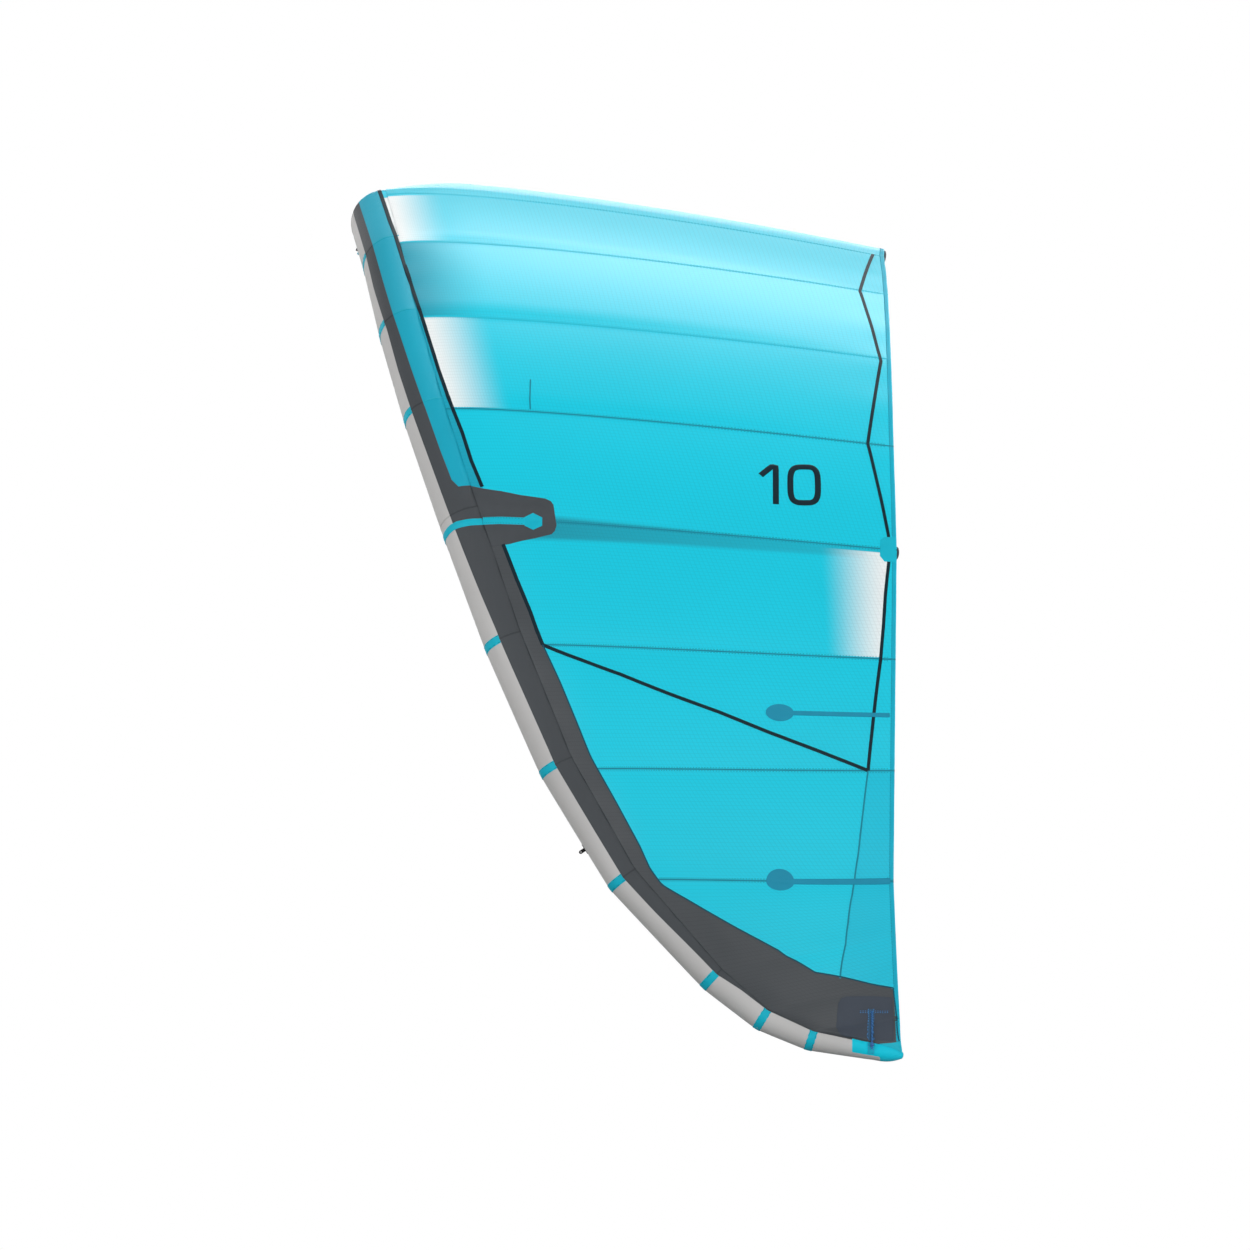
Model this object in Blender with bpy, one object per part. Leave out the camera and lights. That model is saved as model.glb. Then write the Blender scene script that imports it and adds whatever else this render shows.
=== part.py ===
"""An inflatable kitesurfing kite of about ten square metres, pumped up and held as it flies.

Lengths are metres. The origin is the middle of the leading edge tube. +X is the kite's own
left, +Y runs back to the trailing edge and +Z is up, so the arch opens downwards.
A station is a joint of the leading edge tube, where the tube bends and a canopy seam starts.
Everything on a side is worked out on +X and mirrored for the other side.
"""

import math
from collections import namedtuple

import bmesh
import bpy
import numpy as np
from mathutils import Matrix, Vector
from mathutils.bvhtree import BVHTree

# The whole kite
arch_height = 2.734
arch_half_width = 1.72
sweep_reach = 1.709
arch_power_share = 2.2
crown_share = 0.0135

# The leading edge joints, from beside the middle to the tip
hub_back_shares = (0.002, 0.024, 0.053, 0.098, 0.164, 0.246, 0.346, 0.471, 0.643, 0.737, 0.827, 0.955)
hub_drop_shares = (0.0, 0.049, 0.131, 0.233, 0.359, 0.506, 0.655, 0.789, 0.909, 0.957, 0.983, 0.999)
tube_radius_shares = (1.0, 0.985, 0.955, 0.918, 0.873, 0.803, 0.727, 0.651, 0.551, 0.485, 0.412, 0.3)
rear_back_shares = (0.967, 0.975, 0.981, 0.986, 0.992, 0.99, 0.988, 0.986, 0.99, 0.994, 0.998, 1.0)
rear_drop_shares = (0.041, 0.087, 0.165, 0.27, 0.395, 0.527, 0.661, 0.795, 0.858, 0.914, 0.96, 0.987)
rear_crown_drop_share = 0.035
tip_rear_out = 0.013
# Where the canopy leaves the tube, as a share of half a turn from its front
foot_turn_shares = (0.517, 0.53, 0.56, 0.59, 0.611, 0.628, 0.639, 0.65, 0.65, 0.65, 0.66, 0.72)
# How deep the canopy's section is, next to the middle's
depth_shares = (1.0, 0.98, 0.95, 0.9, 0.85, 0.75, 0.65, 0.55, 0.4, 0.3, 0.2, 0.1)
last_panel_joint = 7
strut_joint = 4

# The canopy cloth, thicker here than the real cloth
canopy_thickness = 0.003
seam_gap = 0.0003
entry_run_share = 0.13
entry_rise_share = 0.025
exit_run_share = 0.364
exit_rise_share = 0.053
billow_share = 0.036
billow_ramp_share = 0.25
canopy_steps = 10
# Where a canopy seam meets the tube, past the joint, as a share of the next segment
seam_shift_share = 0.11
panel_rows = 4
middle_rows = 5
tip_rows = 2

# The leading edge tube and its bladder
middle_tube_radius = 0.109
casing_wall = 0.0018
bladder_gap = 0.0006
bladder_wall = 0.0012
tube_sides = 18
bladder_sides = 9
tip_cap_share = 2.48
cap_depth_shares = (0.45, 0.8, 1.0)
cap_radius_shares = (0.9, 0.66, 0.36)

# The struts and their bladders
strut_front_radius = 0.056
strut_rear_radius = 0.026
strut_overhang = 0.002
strut_cap_depth = 0.009
strut_seat_gap = 0.0008
strut_sides = 14
strut_bladder_sides = 7
strut_bladder_start = 3
side_strut_share = 0.84

# The hoses that pass air from the leading edge to the struts
hose_radius = 0.0065
hose_bore_radius = 0.0042
hose_hole_clearance = 0.0005
hose_stand = 0.036
hose_bend = 0.02
hose_front_turn_share = 0.14
hose_segment_share = 0.1
hose_sides = 8
hose_bend_points = 4
hose_strut_step = 4
port_reach = 0.012

# The pinch clip on each hose
clip_length = 0.028
clip_wall = 0.0026
clip_gap = 0.0006
clip_floor = 0.0028
clip_pin_radius = 0.0014
clip_pin_clearance = 0.0005
clip_knuckle_radius = 0.0034
clip_lever_thickness = 0.003
clip_lever_tail = 0.007
clip_nub_radius = 0.0022

# The inflate valve, on the underside of the leading edge beside the middle
valve_offset = 0.16
valve_turn_share = 0.34
valve_neck_radius = 0.026
valve_bore_radius = 0.0195
valve_seat_radius = 0.0165
valve_seat_depth = 0.003
valve_neck_height = 0.019
valve_flange_radius = 0.041
valve_flange_height = 0.003
valve_skirt_depth = 0.009
valve_cap_wall = 0.0022
valve_cap_clearance = 0.0007
valve_cap_top = 0.003
valve_grip_height = 0.006
valve_grip_width = 0.005
valve_hinge_offset = 0.0345
valve_pin_radius = 0.0016
valve_pin_clearance = 0.0004
valve_knuckle_radius = 0.0038
valve_knuckle_width = 0.01
valve_ear_width = 0.004
valve_ear_gap = 0.0005
valve_hub_radius = 0.0046
valve_hub_bore_radius = 0.0024
valve_hub_height = 0.004
valve_hub_depth = 0.0125
valve_spoke_width = 0.0024
plunger_stem_radius = 0.0019
plunger_disc_radius = 0.0183
plunger_disc_thickness = 0.0018
plunger_seat_gap = 0.0003
plunger_button_radius = 0.0045
plunger_button_height = 0.0022
plunger_tail = 0.009
turned_sides = 20
small_sides = 12

# The steering line's pigtail on each wingtip
pigtail_radius = 0.0026
pigtail_back_share = 0.944
pigtail_top_share = 0.951
pigtail_bottom_share = 0.9975
pigtail_points = 14
pigtail_gap = 0.0006
pigtail_sides = 8
knot_radius_shares = (1.0, 1.9, 2.3, 1.9)

# The bridle tab on each side of the leading edge
tab_segment = 6
tab_place_share = 0.64
tab_turn_share = -0.1
tab_base_length = 0.036
tab_base_width = 0.016
tab_base_height = 0.0022
tab_length = 0.026
tab_width = 0.012
tab_thickness = 0.0024
tab_eye_radius = 0.0018
tab_eye_inset = 0.007

# How far a cutter overruns a wall, and how far faces that a union joins stay apart
overrun = 0.004
join_step = 0.0004
# Edges that turn by more than this stay sharp
sharp_degrees = 35

Station = namedtuple("Station", "hub across out rear start other forward turn depth")


def clear_scene():
    for old in list(bpy.data.objects):
        bpy.data.objects.remove(old)


def material(name, red, green, blue, roughness, metallic=0.0):
    made = bpy.data.materials.new(name)
    made.use_nodes = True
    shader = made.node_tree.nodes["Principled BSDF"]
    shader.inputs["Base Color"].default_value = (red, green, blue, 1.0)
    shader.inputs["Roughness"].default_value = roughness
    shader.inputs["Metallic"].default_value = metallic
    made.diffuse_color = (red, green, blue, 1.0)
    return made


def unit(vector):
    return vector / np.linalg.norm(vector)


def lateral(from_top):
    """Half the arch's width where this share of its height lies above."""
    return arch_half_width * math.sqrt(1 - (1 - from_top) ** arch_power_share)


def hub_points():
    points = []
    for back_share, drop_share in zip(hub_back_shares, hub_drop_shares):
        wide = lateral((drop_share + crown_share) / (hub_drop_shares[-1] + crown_share))
        points.append(np.array((wide, back_share * sweep_reach, -drop_share * arch_height)))
    return points


def rear_points():
    points = []
    fall_share = rear_drop_shares[-1] - rear_crown_drop_share
    for back_share, drop_share in zip(rear_back_shares, rear_drop_shares):
        wide = lateral((drop_share - rear_crown_drop_share) / fall_share)
        points.append(np.array((wide, back_share * sweep_reach, -drop_share * arch_height)))
    points[-1][0] += tip_rear_out
    return points


def make_stations():
    """Each joint's tube centre, its radius along and out of the canopy, and its trailing edge.

    The ring of the tube starts from the front in the middle and is carried on without twist.
    """
    hubs = hub_points()
    rears = rear_points()
    stations = []
    start = np.array((0, -1, 0))
    for i, hub in enumerate(hubs):
        before = hubs[i - 1] if i else hub * np.array((-1, 1, 1))
        after = hubs[min(i + 1, len(hubs) - 1)]
        into = unit(hub - before)
        away = unit(after - hub) if i + 1 < len(hubs) else into
        bisector = unit(into + away)
        slope = unit(np.array((after[0] - before[0], 0, after[2] - before[2])))
        out = np.array((-slope[2], 0, slope[0]))
        out = unit(out - out.dot(bisector) * bisector)
        across = np.cross(out, bisector)
        radius = middle_tube_radius * tube_radius_shares[i]
        start = unit(start - start.dot(bisector) * bisector)
        other = np.cross(start, bisector)
        turn = math.pi * foot_turn_shares[i]
        vectors = (hub, across * radius, out * radius, rears[i], start * radius, other * radius, bisector)
        stations.append(Station(*vectors, turn, depth_shares[i]))
    return stations


def mirrored(station):
    flip = np.array((-1, 1, 1))
    vectors = [part * flip for part in station[:7]]
    return Station(*vectors, *station[7:])


def between(first, last, v):
    return Station(*[(1 - v) * a + v * b for a, b in zip(first, last)])


def radial(station, turn, reach=0.0):
    """The tube's surface at this turn from its front, moved out by reach."""
    across_radius = np.linalg.norm(station.across)
    arm = -math.cos(turn) * station.across + math.sin(turn) * station.out
    return station.hub + arm * (1 + reach / across_radius)


def bezier(corners, t):
    a, b, c, d = corners
    t = np.asarray(t)[:, None]
    s = 1 - t
    return s ** 3 * a + 3 * s * s * t * b + 3 * s * t * t * c + t ** 3 * d


def rise_of(station):
    along = unit(station.rear - station.hub)
    return along, unit(station.out - station.out.dot(along) * along)


def station_at(stations, place):
    """The tube at a place between two joints, such as 4.5 halfway from joint 4 to joint 5."""
    first = min(int(place), len(stations) - 2)
    v = place - first
    here = between(stations[first], stations[first + 1], v)
    radius = (1 - v) * np.linalg.norm(stations[first].start) + v * np.linalg.norm(stations[first + 1].start)
    return here._replace(across=unit(here.across) * radius, out=unit(here.out) * radius)


def canopy_line(here, swell=0.0):
    """The middle of the cloth from the tube back to here.rear, swollen outwards between seams."""
    along, rise = rise_of(here)
    foot = radial(here, here.turn, canopy_thickness / 2 + seam_gap)
    length = np.linalg.norm(here.rear - foot)
    lift = rise * length * here.depth
    corners = (
        foot,
        foot + along * length * entry_run_share + lift * entry_rise_share,
        here.rear - along * length * exit_run_share + lift * exit_rise_share,
        here.rear,
    )
    t = np.linspace(0, 1, canopy_steps + 1)
    ramp = np.minimum(t / billow_ramp_share, 1)
    ramp = ramp * ramp * (3 - 2 * ramp)
    return bezier(corners, t) + (swell * ramp)[:, None] * rise


def seam_station(stations, joint):
    """Where a canopy seam meets the tube, a little past the joint, with its trailing edge."""
    here = station_at(stations, joint + seam_shift_share)
    return here._replace(rear=stations[joint].rear)


def rows_between(stations, places, shares, first_rear, last_rear):
    """(section, swell) of a panel's rows; shares say how far each is from one seam to the next."""
    span = np.linalg.norm(station_at(stations, places[-1]).hub - station_at(stations, places[0]).hub)
    rows = []
    for place, share in zip(places, shares):
        rear = (1 - share) * first_rear + share * last_rear
        here = station_at(stations, place)._replace(rear=rear)
        rows.append((here, billow_share * span * 4 * share * (1 - share)))
    return rows


def side_panel_rows(stations, joint):
    """Rows from one seam to the next, with one row on the joint where the tube bends."""
    start = joint + seam_shift_share
    places = [*np.linspace(start, joint + 1, panel_rows), start + 1]
    shares = [place - start for place in places]
    return rows_between(stations, places, shares, stations[joint].rear, stations[joint + 1].rear)


def middle_panel_rows(stations):
    """Rows across the middle, over the tube's bends beside it."""
    flipped = [mirrored(station) for station in stations[1::-1]]
    four = flipped + list(stations[:2])
    places = [1 - seam_shift_share, *np.linspace(1, 2, middle_rows), 2 + seam_shift_share]
    reach = station_at(four, places[-1]).hub[0]
    shares = [(station_at(four, place).hub[0] + reach) / (2 * reach) for place in places]
    return rows_between(four, places, shares, four[1].rear, four[2].rear)


def tip_panel_rows(stations):
    """Rows from the last seam round the tube's bends to the wingtip."""
    rows = []
    start = last_panel_joint + seam_shift_share
    for joint in range(last_panel_joint, len(stations) - 1):
        places = np.linspace(max(joint, start), joint + 1, tip_rows + 1)
        shares = np.linspace(0, 1, tip_rows + 1)
        part = rows_between(stations, places, shares, stations[joint].rear, stations[joint + 1].rear)
        rows += part if joint == len(stations) - 2 else part[:-1]
    return rows


def seam_normals(line, station):
    """Directions square to a seam in its section's plane, alike for the panels on both sides."""
    tangents = np.gradient(line, axis=0)
    tangents = tangents / np.linalg.norm(tangents, axis=1)[:, None]
    rise = rise_of(station)[1]
    square = rise - (tangents @ rise)[:, None] * tangents
    return square / np.linalg.norm(square, axis=1)[:, None]


def panel_grid(rows):
    """Rows of points of one sewn panel and the cloth's normals there.

    Its first and last rows end half a seam gap short of the neighbouring panels.
    """
    grid = np.array([canopy_line(here, swell) for here, swell in rows])
    normals = np.cross(np.gradient(grid, axis=0), np.gradient(grid, axis=1))
    normals = normals / np.linalg.norm(normals, axis=2)[:, :, None]
    first_square = seam_normals(grid[0], rows[0][0])
    normals *= np.sign((normals[0] * first_square).sum())
    normals[0] = first_square
    normals[-1] = seam_normals(grid[-1], rows[-1][0])
    for edge, inner in ((0, 1), (-1, -2)):
        inward = grid[inner] - grid[edge]
        grid[edge] += inward * (seam_gap / 2 / np.linalg.norm(inward, axis=1))[:, None]
    return grid, normals


def add_mesh(name, points, faces, surface, parent=None):
    """An object from closed faces, turned so that they point outwards."""
    mesh = bpy.data.meshes.new(name)
    mesh.from_pydata([tuple(p) for p in points], [], faces)
    edit = bmesh.new()
    edit.from_mesh(mesh)
    if edit.calc_volume(signed=True) < 0:
        bmesh.ops.reverse_faces(edit, faces=edit.faces)
    edit.to_mesh(mesh)
    edit.free()
    mesh.shade_smooth()
    mesh.set_sharp_from_angle(angle=math.radians(sharp_degrees))
    mesh.materials.append(surface)
    made = bpy.data.objects.new(name, mesh)
    bpy.context.scene.collection.objects.link(made)
    made.parent = parent
    return made


def loft(rings, closed=False):
    """Faces through rings of equal count: joined end to end if closed, otherwise capped.

    Each four-sided stretch is halved along its shorter diagonal, so that the outside and the
    inside of a wall are halved alike.
    """
    count = len(rings[0])
    points = np.concatenate(rings)
    faces = []
    spans = len(rings) if closed else len(rings) - 1
    for k in range(spans):
        a = k * count
        b = (k + 1) % len(rings) * count
        for j in range(count):
            n = (j + 1) % count
            if np.linalg.norm(points[a + j] - points[b + n]) < np.linalg.norm(points[b + j] - points[a + n]):
                faces += [(a + j, b + j, b + n), (a + j, b + n, a + n)]
            else:
                faces += [(a + j, b + j, a + n), (b + j, b + n, a + n)]
    if not closed:
        faces.append(tuple(range(count)))
        faces.append(tuple(range(len(points) - count, len(points)))[::-1])
    return points, faces


def joined(first, second):
    """Two shells in one mesh, such as the outside and the inside of a closed hollow."""
    shift = len(first[0])
    faces = first[1] + [tuple(i + shift for i in face) for face in second[1]]
    return np.concatenate((first[0], second[0])), faces


def tube_ring(station, inset=0.0, shift=0.0, sides=tube_sides):
    """A ring round the tube's wall, inset from its surface and shifted along the tube."""
    radius = np.linalg.norm(station.start)
    turns = np.linspace(0, 2 * math.pi, sides, endpoint=False)[:, None]
    arms = np.cos(turns) * station.start + np.sin(turns) * station.other
    return station.hub + arms * (1 - inset / radius) + station.forward * shift


def cap_rings(ring, centre, forward, depth):
    """Rings that close a tube's end in a flat dome."""
    rings = []
    for depth_share, radius_share in zip(cap_depth_shares, cap_radius_shares):
        rings.append(centre + (ring - centre) * radius_share + forward * depth * depth_share)
    return rings


def cut(target, cutter, operation="DIFFERENCE"):
    cutter.hide_render = True
    cutter.display_type = "WIRE"
    modifier = target.modifiers.new(operation.lower() + " " + cutter.name, "BOOLEAN")
    modifier.operation = operation
    modifier.object = cutter


def frame_matrix(origin, x_axis, z_axis):
    z_axis = unit(np.asarray(z_axis))
    x_axis = np.asarray(x_axis)
    x_axis = unit(x_axis - x_axis.dot(z_axis) * z_axis)
    y_axis = np.cross(z_axis, x_axis)
    turn = Matrix((x_axis, y_axis, z_axis)).transposed()
    return Matrix.Translation(Vector(origin)) @ turn.to_4x4()


def place_empty(name, origin, x_axis, z_axis):
    place = bpy.data.objects.new(name, None)
    bpy.context.scene.collection.objects.link(place)
    place.matrix_world = frame_matrix(origin, x_axis, z_axis)
    return place


def circle(radius, height, sides=turned_sides):
    turns = np.linspace(0, 2 * math.pi, sides, endpoint=False)
    return np.stack((radius * np.cos(turns), radius * np.sin(turns), np.full(sides, height)), axis=1)


def turned(name, profile, surface, parent, closed=False, sides=turned_sides):
    """A revolved piece from (radius, height) pairs about its own Z."""
    rings = [circle(radius, height, sides) for radius, height in profile]
    return add_mesh(name, *loft(rings, closed), surface, parent)


def block(name, low, high, surface, parent):
    """A box between two corners in its parent's frame."""
    x0, y0, z0 = low
    x1, y1, z1 = high
    lower = np.array(((x0, y0, z0), (x1, y0, z0), (x1, y1, z0), (x0, y1, z0)))
    upper = lower + np.array((0, 0, z1 - z0))
    return add_mesh(name, *loft([lower, upper]), surface, parent)


def rod(name, start, end, radius, surface, parent, sides=turned_sides):
    """A round bar between two points in its parent's frame."""
    start = np.asarray(start, float)
    end = np.asarray(end, float)
    forward = unit(end - start)
    helper = np.eye(3)[int(np.argmin(np.abs(forward)))]
    x_axis = unit(np.cross(helper, forward))
    y_axis = np.cross(forward, x_axis)
    turns = np.linspace(0, 2 * math.pi, sides, endpoint=False)[:, None]
    arms = radius * (np.cos(turns) * x_axis + np.sin(turns) * y_axis)
    return add_mesh(name, *loft([start + arms, end + arms]), surface, parent)


def make_casing(name, first, last, surface):
    """One segment of the sewn tube, open at both ends."""
    half_gap = seam_gap / 2
    rings = [
        tube_ring(first, 0, half_gap),
        tube_ring(last, 0, -half_gap),
        tube_ring(last, casing_wall, -half_gap),
        tube_ring(first, casing_wall, half_gap),
    ]
    return add_mesh(name, *loft(rings, closed=True), surface)


def tip_rings(joints, inset, shift):
    """Rings from the last closed end of the tube back to the first joint."""
    end = joints[-1]
    ring = tube_ring(end, inset)
    domes = cap_rings(ring, end.hub, end.forward, np.linalg.norm(end.start) * tip_cap_share - inset)
    rings = domes[::-1] + [tube_ring(joint, inset) for joint in joints[:0:-1]]
    return rings + [tube_ring(joints[0], inset, shift)]


def make_tip_casing(name, joints, surface):
    """The last segment, bent at two joints and closed at the wingtip."""
    outer = tip_rings(joints, 0, seam_gap / 2)
    inner = tip_rings(joints, casing_wall, seam_gap / 2)
    return add_mesh(name, *loft(outer + inner[::-1]), surface)


def bladder_rings(stations, inset):
    """Rings of the long bladder, from the right tip over the middle to the left tip."""
    half = [tube_ring(joint, inset, sides=bladder_sides) for joint in stations]
    end = stations[-1]
    depth = np.linalg.norm(end.start) * tip_cap_share - inset
    half += cap_rings(half[-1], end.hub, end.forward, depth)
    flip = np.array((-1, 1, 1))
    return [ring * flip for ring in half[::-1]] + half


def make_long_bladder(stations, surface):
    inset = casing_wall + bladder_gap
    outside = loft(bladder_rings(stations, inset))
    inside = loft(bladder_rings(stations, inset + bladder_wall)[::-1])
    return add_mesh("bladder_leading_edge", *joined(outside, inside), surface)


def tube_cutter(name, joints, surface):
    """A solid as thick as the tube with a gap all round, for pieces that saddle onto it."""
    grow = -seam_gap / math.cos(math.pi / tube_sides)
    rings = [tube_ring(joint, grow) for joint in joints]
    return add_mesh(name, *loft(rings), surface)


def strut_frames(line, rise, scale_share):
    """(centre, tangent, up, radius) of the strut under each point of the canopy line."""
    frames = []
    steps = len(line) - 1
    for k, point in enumerate(line):
        tangent = unit(line[min(k + 1, steps)] - line[max(k - 1, 0)])
        up = unit(rise - rise.dot(tangent) * tangent)
        taper = k / steps
        radius = scale_share * (strut_front_radius * (1 - taper) + strut_rear_radius * taper)
        drop = radius + canopy_thickness / 2 + strut_seat_gap
        frames.append((point - up * drop, tangent, up, radius))
    centre, tangent, up, radius = frames[-1]
    frames.append((centre + tangent * strut_overhang, tangent, up, radius))
    return frames


def strut_ring(frame, inset=0.0, sides=strut_sides):
    centre, tangent, up, radius = frame
    side = np.cross(tangent, up)
    turns = np.linspace(0, 2 * math.pi, sides, endpoint=False)[:, None]
    return centre + (radius - inset) * (np.cos(turns) * up + np.sin(turns) * side)


def strut_end(frames, inset, sides=strut_sides):
    centre, tangent, _, _ = frames[-1]
    return cap_rings(strut_ring(frames[-1], inset, sides), centre, tangent, strut_cap_depth - inset)


def make_strut(name, frames, cutter, surface):
    """The strut's casing: open where it saddles onto the leading edge, closed at the rear."""
    outer = strut_end(frames, 0)[::-1] + [strut_ring(frame) for frame in frames[::-1]]
    inner = strut_end(frames, casing_wall)[::-1]
    inner += [strut_ring(frame, casing_wall) for frame in frames[::-1]]
    made = add_mesh(name, *loft(outer + inner[::-1]), surface)
    cut(made, cutter)
    return made


def make_strut_bladder(name, frames, surface):
    inset = casing_wall + bladder_gap
    frames = frames[strut_bladder_start:]
    shells = []
    for wall in (0, bladder_wall):
        depth = inset + wall
        centre, tangent, _, _ = frames[0]
        first = strut_ring(frames[0], depth, strut_bladder_sides)
        front = cap_rings(first, centre, -tangent, strut_cap_depth - wall)[::-1]
        rings = front + [strut_ring(frame, depth, strut_bladder_sides) for frame in frames]
        rings += strut_end(frames, depth, strut_bladder_sides)
        shells.append(loft(rings if wall == 0 else rings[::-1]))
    return add_mesh(name, *joined(*shells), surface)


def rounded_route(corners, bend):
    """Points along straight runs whose inner corners are rounded by quadratic curves."""
    points = [corners[0]]
    for before, corner, after in zip(corners, corners[1:], corners[2:]):
        enter = corner + unit(before - corner) * bend
        leave = corner + unit(after - corner) * bend
        for t in np.linspace(0, 1, hose_bend_points):
            points.append((1 - t) ** 2 * enter + 2 * t * (1 - t) * corner + t * t * leave)
    points.append(corners[-1])
    return np.array(points)


def sweep_rings(points, radii, sides):
    """Rings square to a path, carried along it without twist."""
    tangents = np.gradient(points, axis=0)
    tangents = tangents / np.linalg.norm(tangents, axis=1)[:, None]
    helper = np.eye(3)[int(np.argmin(np.abs(tangents[0])))]
    normal = unit(np.cross(helper, tangents[0]))
    turns = np.linspace(0, 2 * math.pi, sides, endpoint=False)[:, None]
    rings = []
    for point, tangent, radius in zip(points, tangents, radii):
        normal = unit(normal - normal.dot(tangent) * tangent)
        other = np.cross(tangent, normal)
        rings.append(point + radius * (np.cos(turns) * normal + np.sin(turns) * other))
    return rings


def make_hose(name, points, surface):
    outer = sweep_rings(points, [hose_radius] * len(points), hose_sides)
    inner = sweep_rings(points, [hose_bore_radius] * len(points), hose_sides)
    return add_mesh(name, *loft(outer + inner[::-1], closed=True), surface)


def make_air_line(label, station, frames, casings, bladders, surfaces):
    """The hose from the leading edge to one strut, its holes and its pinch clip."""
    turn = math.pi * (1 + hose_front_turn_share)
    surface_point = radial(station, turn)
    out_front = unit(surface_point - station.hub)
    start = surface_point - out_front * casing_wall
    centre, tangent, up, radius = frames[hose_strut_step]
    out_strut = -up
    end = centre + out_strut * (radius - casing_wall)
    front_corner = start + out_front * hose_stand
    strut_corner = end + out_strut * hose_stand
    route = rounded_route([start, front_corner, strut_corner, end], hose_bend)
    make_hose("hose_" + label, route, surfaces["hose"])
    for port, direction, casing, bladder in (
        (start, out_front, casings[0], bladders[0]),
        (end, out_strut, casings[1], bladders[1]),
    ):
        near = port + direction * port_reach
        far = port - direction * port_reach
        hole = rod(casing.name + "_hose_hole", near, port - direction * bladder_gap / 2,
                   hose_radius + hose_hole_clearance, surfaces["hose"], None, hose_sides)
        cut(casing, hole)
        bore = rod(bladder.name + "_port", near, far, hose_bore_radius, surfaces["hose"], None, hose_sides)
        cut(bladder, bore)
    middle = (front_corner + strut_corner) / 2
    along = unit(strut_corner - front_corner)
    down = unit(out_strut - out_strut.dot(along) * along)
    make_clip(label, middle, along, down, surfaces)


def make_clip(label, middle, along, down, surfaces):
    """A moulded channel round the hose and a lever that pinches it, in a frame along the hose."""
    place = place_empty("hose_clip_place_" + label, middle, along, down)
    half = clip_length / 2
    inner = hose_radius + clip_gap
    outer = inner + clip_wall
    floor = -inner - clip_floor
    pin_height = inner + clip_knuckle_radius
    cheek_top = pin_height + clip_knuckle_radius
    base = block("hose_clip_" + label + "_base", (-half, -outer, floor), (half, outer, cheek_top),
                 surfaces["clip"], place)
    cut(base, block(label + "_channel", (-half - overrun, -inner, -inner),
                    (half + overrun, inner, cheek_top + overrun), surfaces["clip"], place))
    pin_x = -half + clip_knuckle_radius
    slope = block(label + "_cheek_cut", (pin_x + clip_knuckle_radius, -outer - overrun, inner / 2),
                  (half + overrun, outer + overrun, cheek_top + overrun), surfaces["clip"], place)
    cut(base, slope)
    reach = inner + clip_wall / 2
    pin = rod(label + "_pin", (pin_x, -reach, pin_height), (pin_x, reach, pin_height),
              clip_pin_radius, surfaces["clip"], place, small_sides)
    cut(base, pin, "UNION")
    lever_place = bpy.data.objects.new("hose_clip_hinge_" + label, None)
    bpy.context.scene.collection.objects.link(lever_place)
    lever_place.parent = place
    lever_place.location = (pin_x, 0, pin_height)
    width = inner - clip_gap
    arm_width = width - join_step
    bottom = -clip_knuckle_radius + clip_gap + join_step
    tail = clip_length + clip_lever_tail - clip_knuckle_radius
    lever = rod("hose_clip_" + label + "_lever", (0, -width, 0), (0, width, 0),
                clip_knuckle_radius - clip_gap, surfaces["lever"], lever_place, small_sides)
    arm = block(label + "_arm", (0, -arm_width, bottom), (tail, arm_width, bottom + clip_lever_thickness),
                surfaces["lever"], lever_place)
    cut(lever, arm, "UNION")
    lip_x = tail - clip_nub_radius
    lip_width = arm_width - join_step
    lip = rod(label + "_lip", (lip_x, -lip_width, bottom + clip_lever_thickness),
              (lip_x, lip_width, bottom + clip_lever_thickness), clip_nub_radius,
              surfaces["lever"], lever_place, small_sides)
    cut(lever, lip, "UNION")
    bore_reach = width + overrun
    cut(lever, rod(label + "_lever_bore", (0, -bore_reach, 0), (0, bore_reach, 0),
                   clip_pin_radius + clip_pin_clearance, surfaces["lever"], lever_place, small_sides))


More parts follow.
